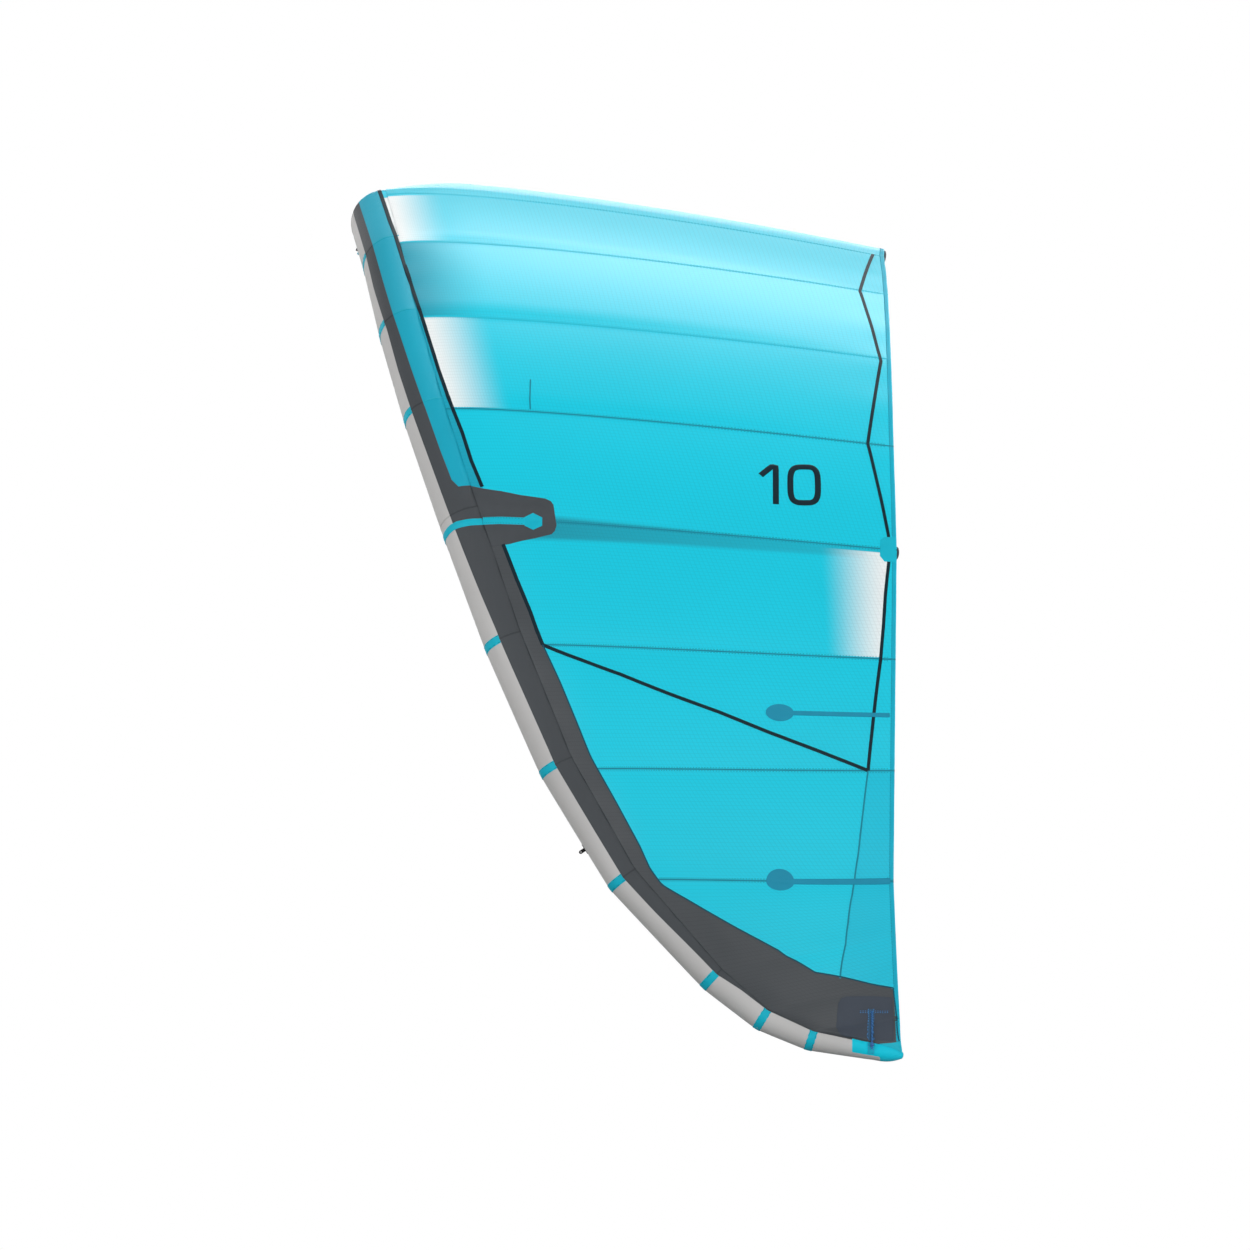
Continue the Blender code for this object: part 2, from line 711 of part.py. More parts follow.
def make_valve(station, casing, bladder, cutter, surfaces):
    """The one valve for filling and emptying, with its plunger and hinged cap."""
    turn = -math.pi * valve_turn_share
    here = station._replace(hub=station.hub + np.array((valve_offset, 0, 0)))
    seat = radial(here, turn)
    out = unit(seat - here.hub)
    place = place_empty("valve_place", seat, (1, 0, 0), out)
    sag = valve_flange_radius ** 2 / middle_tube_radius
    neck_top = valve_flange_height + valve_neck_height
    base = turned(
        "valve_base",
        (
            (valve_bore_radius, -sag),
            (valve_flange_radius, -sag),
            (valve_flange_radius, valve_flange_height / 2),
            (valve_flange_radius - valve_flange_height / 2, valve_flange_height),
            (valve_neck_radius, valve_flange_height),
            (valve_neck_radius, neck_top),
            (valve_seat_radius, neck_top),
            (valve_seat_radius, neck_top - valve_seat_depth),
            (valve_bore_radius, neck_top - valve_seat_depth),
        ),
        surfaces["valve"],
        place,
        closed=True,
    )
    skirt_bottom = neck_top - valve_skirt_depth
    hinge_y = valve_hinge_offset
    ear_inner = valve_knuckle_width / 2 + valve_ear_gap
    ear_outer = ear_inner + valve_ear_width
    for side in (-1, 1):
        x0, x1 = sorted((side * ear_inner, side * ear_outer))
        ear = block("ear_" + str(side), (x0, valve_neck_radius - valve_cap_wall, valve_flange_height / 2),
                    (x1, hinge_y + valve_knuckle_radius, skirt_bottom - seam_gap),
                    surfaces["valve"], place)
        top = block("ear_top_" + str(side),
                    (x0 + join_step, hinge_y - valve_knuckle_radius, skirt_bottom - join_step),
                    (x1 - join_step, hinge_y + valve_knuckle_radius - join_step,
                     skirt_bottom + valve_knuckle_radius),
                    surfaces["valve"], place)
        cut(base, ear, "UNION")
        cut(base, top, "UNION")
    pin_reach = ear_outer - valve_ear_width / 2
    pin = rod("valve_pin", (-pin_reach, hinge_y, skirt_bottom), (pin_reach, hinge_y, skirt_bottom),
              valve_pin_radius, surfaces["valve"], place, small_sides)
    cut(base, pin, "UNION")
    hub_top = neck_top - valve_hub_depth
    hub = turned("spoke_hub", ((valve_hub_bore_radius / 2, hub_top - valve_hub_height),
                               (valve_hub_radius, hub_top - valve_hub_height),
                               (valve_hub_radius, hub_top), (valve_hub_bore_radius / 2, hub_top)),
                 surfaces["valve"], place, closed=True, sides=small_sides)
    spoke_half = valve_spoke_width / 2
    spoke_reach = (valve_bore_radius + valve_neck_radius) / 2
    for k, (reach_x, reach_y) in enumerate(((spoke_reach, spoke_half), (spoke_half, spoke_reach))):
        step = join_step * (k + 1)
        spoke = block("spoke_" + str(k), (-reach_x, -reach_y, hub_top - valve_hub_height + step),
                      (reach_x, reach_y, hub_top - step), surfaces["valve"], place)
        cut(base, spoke, "UNION")
    cut(base, hub, "UNION")
    stem_bore = rod("stem_bore", (0, 0, hub_top - valve_hub_height - overrun), (0, 0, hub_top + overrun),
                    valve_hub_bore_radius, surfaces["valve"], place, small_sides)
    cut(base, stem_bore)
    cut(base, cutter)
    make_plunger(neck_top, surfaces, place)
    make_valve_cap(neck_top, skirt_bottom, surfaces, place)
    low = place.matrix_world @ Vector((0, 0, -port_reach))
    high = place.matrix_world @ Vector((0, 0, port_reach))
    cut(casing, rod("valve_casing_hole", low, high, valve_bore_radius, surfaces["valve"], None))
    cut(bladder, rod("valve_bladder_hole", low, high, valve_bore_radius - bladder_wall,
                     surfaces["valve"], None))


def make_plunger(neck_top, surfaces, place):
    """The sprung disc under the valve's seat, pushed in to let air out."""
    disc_top = neck_top - valve_seat_depth - plunger_seat_gap
    disc_bottom = disc_top - plunger_disc_thickness
    turned(
        "valve_plunger",
        (
            (plunger_stem_radius, disc_bottom - plunger_tail),
            (plunger_stem_radius, disc_bottom),
            (plunger_disc_radius, disc_bottom),
            (plunger_disc_radius, disc_top),
            (plunger_button_radius, disc_top),
            (plunger_button_radius, disc_top + plunger_button_height),
        ),
        surfaces["plunger"],
        place,
        sides=turned_sides,
    )


def make_valve_cap(neck_top, skirt_bottom, surfaces, place):
    """The cap with its grip bar, with its origin on the hinge pin."""
    hinge = bpy.data.objects.new("valve_cap_hinge", None)
    bpy.context.scene.collection.objects.link(hinge)
    hinge.parent = place
    hinge.location = (0, valve_hinge_offset, skirt_bottom)
    inner = valve_neck_radius + valve_cap_clearance
    outer = inner + valve_cap_wall
    ceiling = neck_top - skirt_bottom + seam_gap
    top = ceiling + valve_cap_top
    profile = (
        (inner, 0),
        (outer, 0),
        (outer, top - valve_cap_top / 2),
        (outer - valve_cap_top / 2, top),
    )
    rings = [circle(radius, height) for radius, height in profile]
    inside = [circle(inner, ceiling)]
    points, faces = loft(inside[::-1] + rings)
    points = points + np.array((0, -valve_hinge_offset, 0))
    cap = add_mesh("valve_cap", points, faces, surfaces["cap"], hinge)
    grip_reach = outer - valve_cap_top
    grip_half = valve_grip_width / 2
    grip = block("grip", (-grip_reach, -valve_hinge_offset - grip_half, ceiling + seam_gap),
                 (grip_reach, -valve_hinge_offset + grip_half, top + valve_grip_height),
                 surfaces["cap"], hinge)
    cut(cap, grip, "UNION")
    half = valve_knuckle_width / 2
    knuckle = rod("knuckle", (-half, 0, 0), (half, 0, 0), valve_knuckle_radius, surfaces["cap"], hinge,
                  small_sides)
    arm_start = -valve_hinge_offset + (inner + outer) / 2
    arm = block("knuckle_arm", (-half, arm_start, valve_pin_radius), (half, 0, valve_knuckle_radius),
                surfaces["cap"], hinge)
    cut(cap, knuckle, "UNION")
    cut(cap, arm, "UNION")
    reach = half + overrun
    cut(cap, rod("knuckle_bore", (-reach, 0, 0), (reach, 0, 0), valve_pin_radius + valve_pin_clearance,
                 surfaces["cap"], hinge, small_sides))


def make_pigtail(name, joints, grid, side, surface):
    """The steering line's short tail, lying down the outside of the wingtip."""
    rings = [tube_ring(joint) for joint in joints]
    tube_points, tube_faces = loft(rings)
    shift = len(tube_points)
    faces = tube_faces + [tuple(i + shift for i in face) for face in grid_faces(grid)]
    points = [Vector(p) for p in np.concatenate((tube_points, grid.reshape(-1, 3)))]
    tree = BVHTree.FromPolygons(points, faces)
    y = pigtail_back_share * sweep_reach
    stand = pigtail_radius + canopy_thickness / 2 + pigtail_gap
    path = []
    for share in np.linspace(pigtail_top_share, pigtail_bottom_share, pigtail_points):
        eye = Vector((2 * arch_half_width, y, -share * arch_height))
        hit, normal, _, _ = tree.ray_cast(eye, Vector((-1, 0, 0)))
        normal = normal if normal.x > 0 else -normal
        path.append(np.array(hit + normal * stand))
    path = np.array(path)
    eased = smoothed(path.copy())
    eased[:, 0] = np.maximum(eased[:, 0], path[:, 0])
    path = eased
    radii = [pigtail_radius] * (pigtail_points - len(knot_radius_shares))
    radii += [pigtail_radius * share for share in knot_radius_shares]
    path[-len(knot_radius_shares):, 0] += pigtail_radius * knot_radius_shares[-2]
    path = path * np.array((side, 1, 1))
    add_mesh(name, *loft(sweep_rings(path, radii, pigtail_sides)), surface)


def smoothed(path):
    """The path with each inner point moved halfway to its neighbours' middle, twice."""
    for _ in range(2):
        path[1:-1] = path[1:-1] / 2 + (path[:-2] + path[2:]) / 4
    return path


def make_tab(name, first, last, side, cutter, surface):
    """A stitched webbing tab on the tube's front, with the eye that the bridle ties to."""
    here = between(first, last, tab_place_share)
    turn = math.pi * tab_turn_share
    seat = radial(here, turn)
    out = unit(seat - here.hub)
    along = unit(last.hub - first.hub)
    flip = np.array((side, 1, 1))
    place = place_empty(name + "_place", seat * flip, along * flip, out * flip)
    half_base = tab_base_length / 2
    half_width = tab_width / 2
    base = block(name, (-half_base, -tab_base_width / 2, -tab_base_height),
                 (half_base, tab_base_width / 2, tab_base_height), surface, place)
    half_thick = tab_thickness / 2
    top = tab_length - half_width
    plate = block(name + "_plate", (-half_width, -half_thick, 0), (half_width, half_thick, top),
                  surface, place)
    end = rod(name + "_end", (0, -half_thick, top), (0, half_thick, top), half_width, surface, place,
              turned_sides)
    cut(base, plate, "UNION")
    cut(base, end, "UNION")
    eye_height = tab_length - tab_eye_inset
    cut(base, rod(name + "_eye", (0, -half_width, eye_height), (0, half_width, eye_height),
                  tab_eye_radius, surface, place, small_sides))
    cut(base, cutter)


def grid_faces(grid):
    """Triangles of a grid of points, each four-sided cell halved along its shorter diagonal."""
    rows, columns = grid.shape[:2]
    points = grid.reshape(-1, 3)
    faces = []
    for i in range(rows - 1):
        for j in range(columns - 1):
            a = i * columns + j
            b = a + 1
            c = a + columns + 1
            d = a + columns
            if np.linalg.norm(points[a] - points[c]) < np.linalg.norm(points[b] - points[d]):
                faces += [(a, b, c), (a, c, d)]
            else:
                faces += [(a, b, d), (b, c, d)]
    return faces


def make_canopy(name, grid, normals, surface):
    """A sewn panel of cloth: its outside, its inside and the rim between them."""
    rows, columns = grid.shape[:2]
    half = normals * canopy_thickness / 2
    count = rows * columns
    points = np.concatenate(((grid + half).reshape(-1, 3), (grid - half).reshape(-1, 3)))
    outside = grid_faces(grid)
    faces = outside + [tuple(i + count for i in face[::-1]) for face in outside]
    order = np.arange(count).reshape(rows, columns)
    border = [*order[0, :-1], *order[:-1, -1], *order[-1, :0:-1], *order[:0:-1, 0]]
    for here, there in zip(border, border[1:] + border[:1]):
        faces.append((there, here, here + count, there + count))
    return add_mesh(name, points, [tuple(int(i) for i in face) for face in faces], surface)


def make_surfaces():
    return {
        "casing": material("laminate sailcloth, light grey", 0.52, 0.53, 0.54, 0.55),
        "canopy": material("ripstop canopy cloth, turquoise", 0.014, 0.62, 0.78, 0.5),
        "strut": material("laminate sailcloth, dark grey", 0.06, 0.075, 0.085, 0.55),
        "bladder": material("polyurethane film", 0.75, 0.78, 0.76, 0.25),
        "hose": material("clear grey silicone hose", 0.45, 0.48, 0.5, 0.3),
        "clip": material("black acetal", 0.02, 0.02, 0.022, 0.35),
        "lever": material("turquoise acetal", 0.014, 0.5, 0.62, 0.35),
        "valve": material("black nylon", 0.02, 0.02, 0.022, 0.4),
        "plunger": material("grey nylon", 0.2, 0.21, 0.22, 0.4),
        "cap": material("turquoise nylon", 0.014, 0.5, 0.62, 0.4),
        "line": material("blue braided line", 0.01, 0.12, 0.35, 0.7),
        "webbing": material("black polyester webbing", 0.02, 0.02, 0.02, 0.8),
    }


def side_name(side):
    return "left" if side > 0 else "right"


def make_side(side, stations, surfaces):
    """Everything on one side of the middle, and what the strut's air line needs."""
    label = side_name(side)
    joints = stations if side > 0 else [mirrored(station) for station in stations]
    casings = []
    for k in range(last_panel_joint + 1):
        name = "leading_edge_" + label + "_" + str(k + 1)
        casings.append(make_casing(name, joints[k], joints[k + 1], surfaces["casing"]))
    tip_name = "leading_edge_" + label + "_" + str(last_panel_joint + 2)
    make_tip_casing(tip_name, joints[last_panel_joint + 1:], surfaces["casing"])
    for k in range(last_panel_joint):
        name = "canopy_" + label + "_" + str(k + 1)
        make_canopy(name, *panel_grid(side_panel_rows(joints, k)), surfaces["canopy"])
    tip_grid, tip_normals = panel_grid(tip_panel_rows(joints))
    tip_name = "canopy_" + label + "_" + str(last_panel_joint + 1)
    make_canopy(tip_name, tip_grid, tip_normals, surfaces["canopy"])
    flip = np.array((side, 1, 1))
    make_pigtail("pigtail_" + label, stations[last_panel_joint:], tip_grid * flip, side, surfaces["line"])
    tab_cutter = tube_cutter("tab_seat_" + label, joints[tab_segment:tab_segment + 2], surfaces["casing"])
    make_tab("bridle_tab_" + label, stations[tab_segment], stations[tab_segment + 1], side, tab_cutter,
             surfaces["webbing"])
    return joints, casings


def make_kite():
    surfaces = make_surfaces()
    stations = make_stations()
    middle_pair = (mirrored(stations[0]), stations[0])
    middle = between(*middle_pair, 0.5)
    middle_casing = make_casing("leading_edge_middle", *middle_pair, surfaces["casing"])
    middle_sections = middle_panel_rows(stations)
    make_canopy("canopy_middle", *panel_grid(middle_sections), surfaces["canopy"])
    long_bladder = make_long_bladder(stations, surfaces["bladder"])

    middle_cutter = tube_cutter("middle_seat", middle_pair, surfaces["casing"])
    ridge, swell = middle_sections[len(middle_sections) // 2]
    frames = strut_frames(canopy_line(ridge, swell), rise_of(ridge)[1], 1)
    strut = make_strut("strut_middle", frames, middle_cutter, surfaces["strut"])
    bladder = make_strut_bladder("bladder_strut_middle", frames, surfaces["bladder"])
    make_air_line("middle", middle, frames, (middle_casing, strut), (long_bladder, bladder), surfaces)

    for side in (1, -1):
        label = side_name(side)
        joints, casings = make_side(side, stations, surfaces)
        seam = seam_station(joints, strut_joint)
        frames = strut_frames(canopy_line(seam), rise_of(seam)[1], side_strut_share)
        cutter = tube_cutter("strut_seat_" + label, joints[strut_joint - 1:strut_joint + 2],
                             surfaces["casing"])
        strut = make_strut("strut_" + label, frames, cutter, surfaces["strut"])
        bladder = make_strut_bladder("bladder_strut_" + label, frames, surfaces["bladder"])
        beside = station_at(joints, strut_joint + seam_shift_share + hose_segment_share)
        make_air_line(label, beside, frames, (casings[strut_joint], strut), (long_bladder, bladder),
                      surfaces)
    make_valve(middle, middle_casing, long_bladder, middle_cutter, surfaces)


clear_scene()
make_kite()
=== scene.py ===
# %% [markdown]
# # An inflatable kite, dressed
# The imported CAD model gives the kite's size, its solids and the bodies that move.
# This notebook lays cloth, seams, printing, hoses and cord over it, one kind of piece at a time.
# Lengths are in metres: +X runs to the kite's own left wingtip, +Y from the leading edge back,
# and +Z up. The origin lies on the leading edge tube's axis, in the middle of the kite.

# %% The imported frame
import math

import bmesh
import bpy
import numpy as np
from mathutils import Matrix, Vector


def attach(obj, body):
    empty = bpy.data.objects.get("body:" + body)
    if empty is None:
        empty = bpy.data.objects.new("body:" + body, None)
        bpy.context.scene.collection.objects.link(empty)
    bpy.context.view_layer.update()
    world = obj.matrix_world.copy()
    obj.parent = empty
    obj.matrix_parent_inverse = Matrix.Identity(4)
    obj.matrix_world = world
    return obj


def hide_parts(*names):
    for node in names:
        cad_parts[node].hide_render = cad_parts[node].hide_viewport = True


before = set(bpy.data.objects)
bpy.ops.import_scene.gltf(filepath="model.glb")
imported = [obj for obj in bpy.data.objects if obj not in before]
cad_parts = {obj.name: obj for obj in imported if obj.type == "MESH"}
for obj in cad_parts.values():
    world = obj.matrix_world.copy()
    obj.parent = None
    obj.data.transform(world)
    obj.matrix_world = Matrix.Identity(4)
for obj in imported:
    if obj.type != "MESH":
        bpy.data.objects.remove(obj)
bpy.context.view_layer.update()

# %% [markdown]
# ## Camera, floor and light
# The photograph is a pure side view, so the camera is orthographic and looks along -X.
# One pixel of the photograph is 3.3 mm of kite, and the tube's axis lies at a known pixel,
# which gives the point that the camera has to aim at.

# %% Camera
photo_pixels = 1250
pixel = 0.0033
axis_pixel = (383, 223)
camera_distance = 12

view = bpy.data.cameras.new("side_view")
view.type = "ORTHO"
view.ortho_scale = photo_pixels * pixel
camera = bpy.data.objects.new("side_view", view)
camera.location = (
    camera_distance,
    (photo_pixels / 2 - axis_pixel[0]) * pixel,
    (axis_pixel[1] - photo_pixels / 2) * pixel,
)
camera.rotation_euler = (math.pi / 2, 0, math.pi / 2)
bpy.context.scene.collection.objects.link(camera)
bpy.context.scene.camera = camera
print("camera at", tuple(camera.location), "showing", round(view.ortho_scale, 3), "m")

# %% [markdown]
# Two small helpers serve every material. The first turns a colour as painters write it into
# the linear numbers that light adds up in. The second adds a node and joins it to others.


# %% Colours and nodes
def paint(code):
    """Linear RGBA of an sRGB hex colour.

    A channel above 0.04045 is (c + 0.055) / 1.055 to the power 2.4, and one below is c / 12.92.
    """
    channels = [int(code[k:k + 2], 16) / 255 for k in (1, 3, 5)]
    linear = [c / 12.92 if c <= 0.04045 else ((c + 0.055) / 1.055) ** 2.4 for c in channels]
    return (*linear, 1.0)


def add(tree, kind, sockets=None, **settings):
    """A new node with its settings, and each named input set to a value or linked to an output."""
    made = tree.nodes.new(kind)
    for name, value in settings.items():
        setattr(made, name, value)
    for name, value in (sockets or {}).items():
        if isinstance(value, bpy.types.NodeSocket):
            tree.links.new(value, made.inputs[name])
        else:
            made.inputs[name].default_value = value
    return made


def new_material(name):
    """An empty material's node tree with its output node."""
    material = bpy.data.materials.new(name)
    material.use_nodes = True
    material.node_tree.nodes.clear()
    return material, material.node_tree


def finish_material(material, shader):
    """The material with its last shader joined to the output."""
    add(material.node_tree, "ShaderNodeOutputMaterial", {"Surface": shader})
    return material


print("turquoise in linear light:", [round(c, 3) for c in paint("#1FCFE5")])

# %% [markdown]
# The floor and the air around are white to the camera. To the kite the floor is a mid grey and
# the air is dim, so that the lamps give its round parts their shading. What the camera sees of
# the floor is part lamp, part matt paint: white, but still taking the kite's shadow. Two wide
# lamps light each side. The overhead one stands where the crown throws it at the camera, as a
# broad shine, and the rim lamp skims the ridge from behind.

# %% Floor, air and lamps
floor_height = -2.8
floor_half = 40
floor_glow = 0.62
air_strength = 0.28

white, tree = new_material("studio_floor")
glow = add(tree, "ShaderNodeEmission", {"Color": (1, 1, 1, 1), "Strength": 1.0})
matt = add(tree, "ShaderNodeBsdfDiffuse", {"Color": paint("#F2F2F2")})
seen = add(tree, "ShaderNodeMixShader", {0: floor_glow, 1: matt.outputs[0], 2: glow.outputs[0]})
unseen = add(tree, "ShaderNodeBsdfDiffuse", {"Color": paint("#9A9A9A")})
path = add(tree, "ShaderNodeLightPath")
mixed = add(tree, "ShaderNodeMixShader", {0: path.outputs["Is Camera Ray"], 1: unseen.outputs[0],
            2: seen.outputs[0]})
finish_material(white, mixed.outputs[0])
plane = bpy.data.meshes.new("floor")
plane.from_pydata([(x * floor_half, y * floor_half, floor_height)
                   for x, y in ((-1, -1), (1, -1), (1, 1), (-1, 1))], [], [(0, 1, 2, 3)])
plane.materials.append(white)
floor = bpy.data.objects.new("floor", plane)
bpy.context.scene.collection.objects.link(floor)

world = bpy.data.worlds.new("studio_air")
world.use_nodes = True
world.node_tree.nodes.clear()
path = add(world.node_tree, "ShaderNodeLightPath")
soft = add(world.node_tree, "ShaderNodeBackground", {"Color": (1, 1, 1, 1), "Strength": air_strength})
seen = add(world.node_tree, "ShaderNodeBackground", {"Color": (1, 1, 1, 1), "Strength": 1.0})
either = add(world.node_tree, "ShaderNodeMixShader",
             {0: path.outputs["Is Camera Ray"], 1: soft.outputs[0], 2: seen.outputs[0]})
add(world.node_tree, "ShaderNodeOutputWorld", {"Surface": either.outputs[0]})
bpy.context.scene.world = world
bpy.context.scene.view_settings.view_transform = "Standard"

lamps = (
    ("left_front", (1.0, -0.9, -0.1), 3.0, 50),
    ("left_rear", (1.0, 0.9, -0.1), 3.0, 50),
    ("right_front", (-1.0, -0.9, -0.1), 1.0, 50),
    ("right_rear", (-1.0, 0.9, -0.1), 1.0, 50),
    ("rim", (-1.0, 0.0, 0.12), 0.8, 30),
    ("overhead", (-0.48, 0.19, 0.86), 1.8, 22),
)
for name, source, strength, spread in lamps:
    lamp = bpy.data.lights.new(name, "SUN")
    lamp.energy = strength
    lamp.angle = math.radians(spread)
    holder = bpy.data.objects.new(name, lamp)
    holder.rotation_euler = (-Vector(source)).to_track_quat("-Z", "Y").to_euler()
    bpy.context.scene.collection.objects.link(holder)
    print(name, "lamp, strength", strength)

# %% [markdown]
# ## One helper for every mesh
# Almost every piece here is a row of rings: a tube is a row of circles, a ribbon is a row of
# flat loops, and a sheet of cloth is a row of very flat loops. `skin` covers such a row with
# four-sided faces, and `put` turns the result into a piece that rides on a body.


# %% Skin and put
def unit(vectors):
    """Vectors of length one: each vector divided by its own length."""
    return vectors / np.linalg.norm(vectors, axis=-1, keepdims=True)


def skin(rings, closed=False):
    """Points and faces over a row of rings of equal, even size.

    A closed row joins its last ring to its first. An open row is shut at both ends by a
    ladder of faces, each between two neighbouring pairs of points that face each other.
    """
    rings = np.asarray(rings)
    rows, size = rings.shape[:2]
    index = np.arange(rows * size).reshape(rows, size)
    walk = np.vstack((index, index[:1])) if closed else index
    walk = np.hstack((walk, walk[:, :1]))
    faces = np.stack((walk[:-1, :-1], walk[:-1, 1:], walk[1:, 1:], walk[1:, :-1]), axis=-1)
    faces = faces.reshape(-1, 4)
    if not closed:
        first = np.arange(size // 2 - 1)
        ladder = np.stack((first, size - 1 - first, size - 2 - first, first + 1), axis=-1)
        last = ladder[:, ::-1] + (rows - 1) * size
        faces = np.vstack((faces, ladder, last))
    return rings.reshape(-1, 3), faces


def put(name, points, faces, material, body="root", node=(), uv=None, sharp=35, **fields):
    """A smooth-shaded piece on a body, which may stand for nodes and carry named numbers."""
    mesh = bpy.data.meshes.new(name)
    mesh.from_pydata(np.asarray(points).tolist(), [], np.asarray(faces).tolist())
    for field, values in fields.items():
        layer = mesh.attributes.new(field, "FLOAT", "POINT")
        layer.data.foreach_set("value", np.asarray(values, dtype=np.float32).ravel())
    if uv is not None:
        corners = np.empty(len(mesh.loops), dtype=np.int32)
        mesh.loops.foreach_get("vertex_index", corners)
        layer = mesh.uv_layers.new(name="metres")
        layer.data.foreach_set("uv", np.asarray(uv, dtype=np.float32).reshape(-1, 2)[corners].ravel())
    work = bmesh.new()
    work.from_mesh(mesh)
    bmesh.ops.delete(work, geom=[point for point in work.verts if not point.link_faces], context="VERTS")
    bmesh.ops.recalc_face_normals(work, faces=work.faces)
    work.to_mesh(mesh)
    work.free()
    mesh.shade_smooth()
    mesh.set_sharp_from_angle(angle=math.radians(sharp))
    mesh.materials.append(material)
    piece = bpy.data.objects.new(name, mesh)
    bpy.context.scene.collection.objects.link(piece)
    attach(piece, body)
    if node:
        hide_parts(*node)
    return piece


print("a skin of 3 rings of 8 points has", len(skin(np.zeros((3, 8, 3)))[1]), "faces")

# %% [markdown]
# ## The kite's shape
# The solids follow a few tables: where the tube's twelve joints lie along the half span,
# how thick the tube is there, and where the cloth ends behind them. The same tables, written
# as shares of the kite's size, give this script two surfaces to lay its pieces on:
# `tube` for the leading edge and `cloth` for the canopy.

# %% Tables of the half span
arch_height = 2.734
arch_half_width = 1.72
sweep_reach = 1.709
arch_power = 2.2
crown_share = 0.0135
tube_radius = 0.109
hub_back = (0.002, 0.024, 0.053, 0.098, 0.164, 0.246, 0.346, 0.471, 0.643, 0.737, 0.827, 0.955)
hub_drop = (0.0, 0.049, 0.131, 0.233, 0.359, 0.506, 0.655, 0.789, 0.909, 0.957, 0.983, 0.999)
tube_share = (1.0, 0.985, 0.955, 0.918, 0.873, 0.803, 0.727, 0.651, 0.551, 0.485, 0.412, 0.3)
rear_back = (0.967, 0.975, 0.981, 0.986, 0.992, 0.99, 0.988, 0.986, 0.99, 0.994, 0.998, 1.0)
rear_drop = (0.041, 0.087, 0.165, 0.27, 0.395, 0.527, 0.661, 0.795, 0.858, 0.914, 0.96, 0.987)
foot_turn = (0.517, 0.53, 0.56, 0.59, 0.611, 0.628, 0.639, 0.65, 0.65, 0.65, 0.66, 0.72)
camber = (1.0, 0.98, 0.95, 0.9, 0.85, 0.75, 0.65, 0.55, 0.4, 0.3, 0.2, 0.1)
rear_crown_drop = 0.035
tip_rear_out = 0.013
solid_cloth = 0.003
seam_gap = 0.0003
seam_shift = 0.11
last_seam = 8
tip = 12
mirror = np.array((-1.0, 1.0, 1.0))


def places(back, drop, top):
    """Places of the joints: the arch's half width is a rounded curve of the drop.

    With s the share of the drop below the top, x = half width * sqrt(1 - (1 - s) ** power).
    """
    back, drop = np.array(back), np.array(drop)
    share = (drop - top) / (drop[-1] - top)
    wide = arch_half_width * np.sqrt(1 - (1 - share) ** arch_power)
    return np.stack((wide, back * sweep_reach, -drop * arch_height), axis=1)


def in_front(table):
    """A table with the mirrored first joint put before it, so that places run from 0 to 12."""
    table = np.asarray(table, dtype=float)
    first = table[:1] * mirror if table.ndim == 2 else table[:1]
    return np.concatenate((first, table))


joints = places(hub_back, hub_drop, -crown_share)
rears = places(rear_back, rear_drop, rear_crown_drop)
rears[-1, 0] += tip_rear_out
before = np.vstack((joints[:1] * mirror, joints[:-1]))
after = np.vstack((joints[1:], joints[-1:]))
into = unit(joints - before)
away = np.vstack((unit(joints[1:] - joints[:-1]), into[-1:]))
forward = unit(into + away)
slope = unit((after - before) * (1, 0, 1))
outward = np.stack((-slope[:, 2], 0 * slope[:, 0], slope[:, 0]), axis=1)
outward = unit(outward - (outward * forward).sum(1, keepdims=True) * forward)
hub_at = in_front(joints)
rear_at = rears
out_at = in_front(outward)
across_at = in_front(np.cross(outward, forward))
radius_at = in_front(tube_radius * np.array(tube_share))
turn_at = in_front(np.array(foot_turn) * math.pi)
camber_at = in_front(camber)
print("half the leading edge:", round(float(np.linalg.norm(np.diff(hub_at, axis=0), axis=1).sum()), 3), "m")

# %% [markdown]
# A place on the tube is a pair: `e` counts joints, from 0 at the right side's first joint over
# 1 at the left side's first to 12 at the wingtip, and `turn` is the angle round the tube from
# its front. Beyond 12 the tube closes in a dome. The sewn casing draws in a little at each
# joint, where the thread pulls the cloth into small puckers.

# %% The tube's surface
tip_cap_share = 2.48
cap_end_share = 0.36
cap_power = 2.4
cap_end_depth = 0.006
pucker_depth = 0.0016
pucker_reach = 0.022
pucker_count = 14
joint_step = 0.45
band_joints = np.arange(1, tip + 1)


def at(table, place):
    """Values of a table between its rows, by straight lines."""
    row = np.clip(np.floor(place).astype(int), 0, len(table) - 2)
    part = place - row
    if table.ndim == 2:
        part = part[..., None]
    return (1 - part) * table[row] + part * table[row + 1]


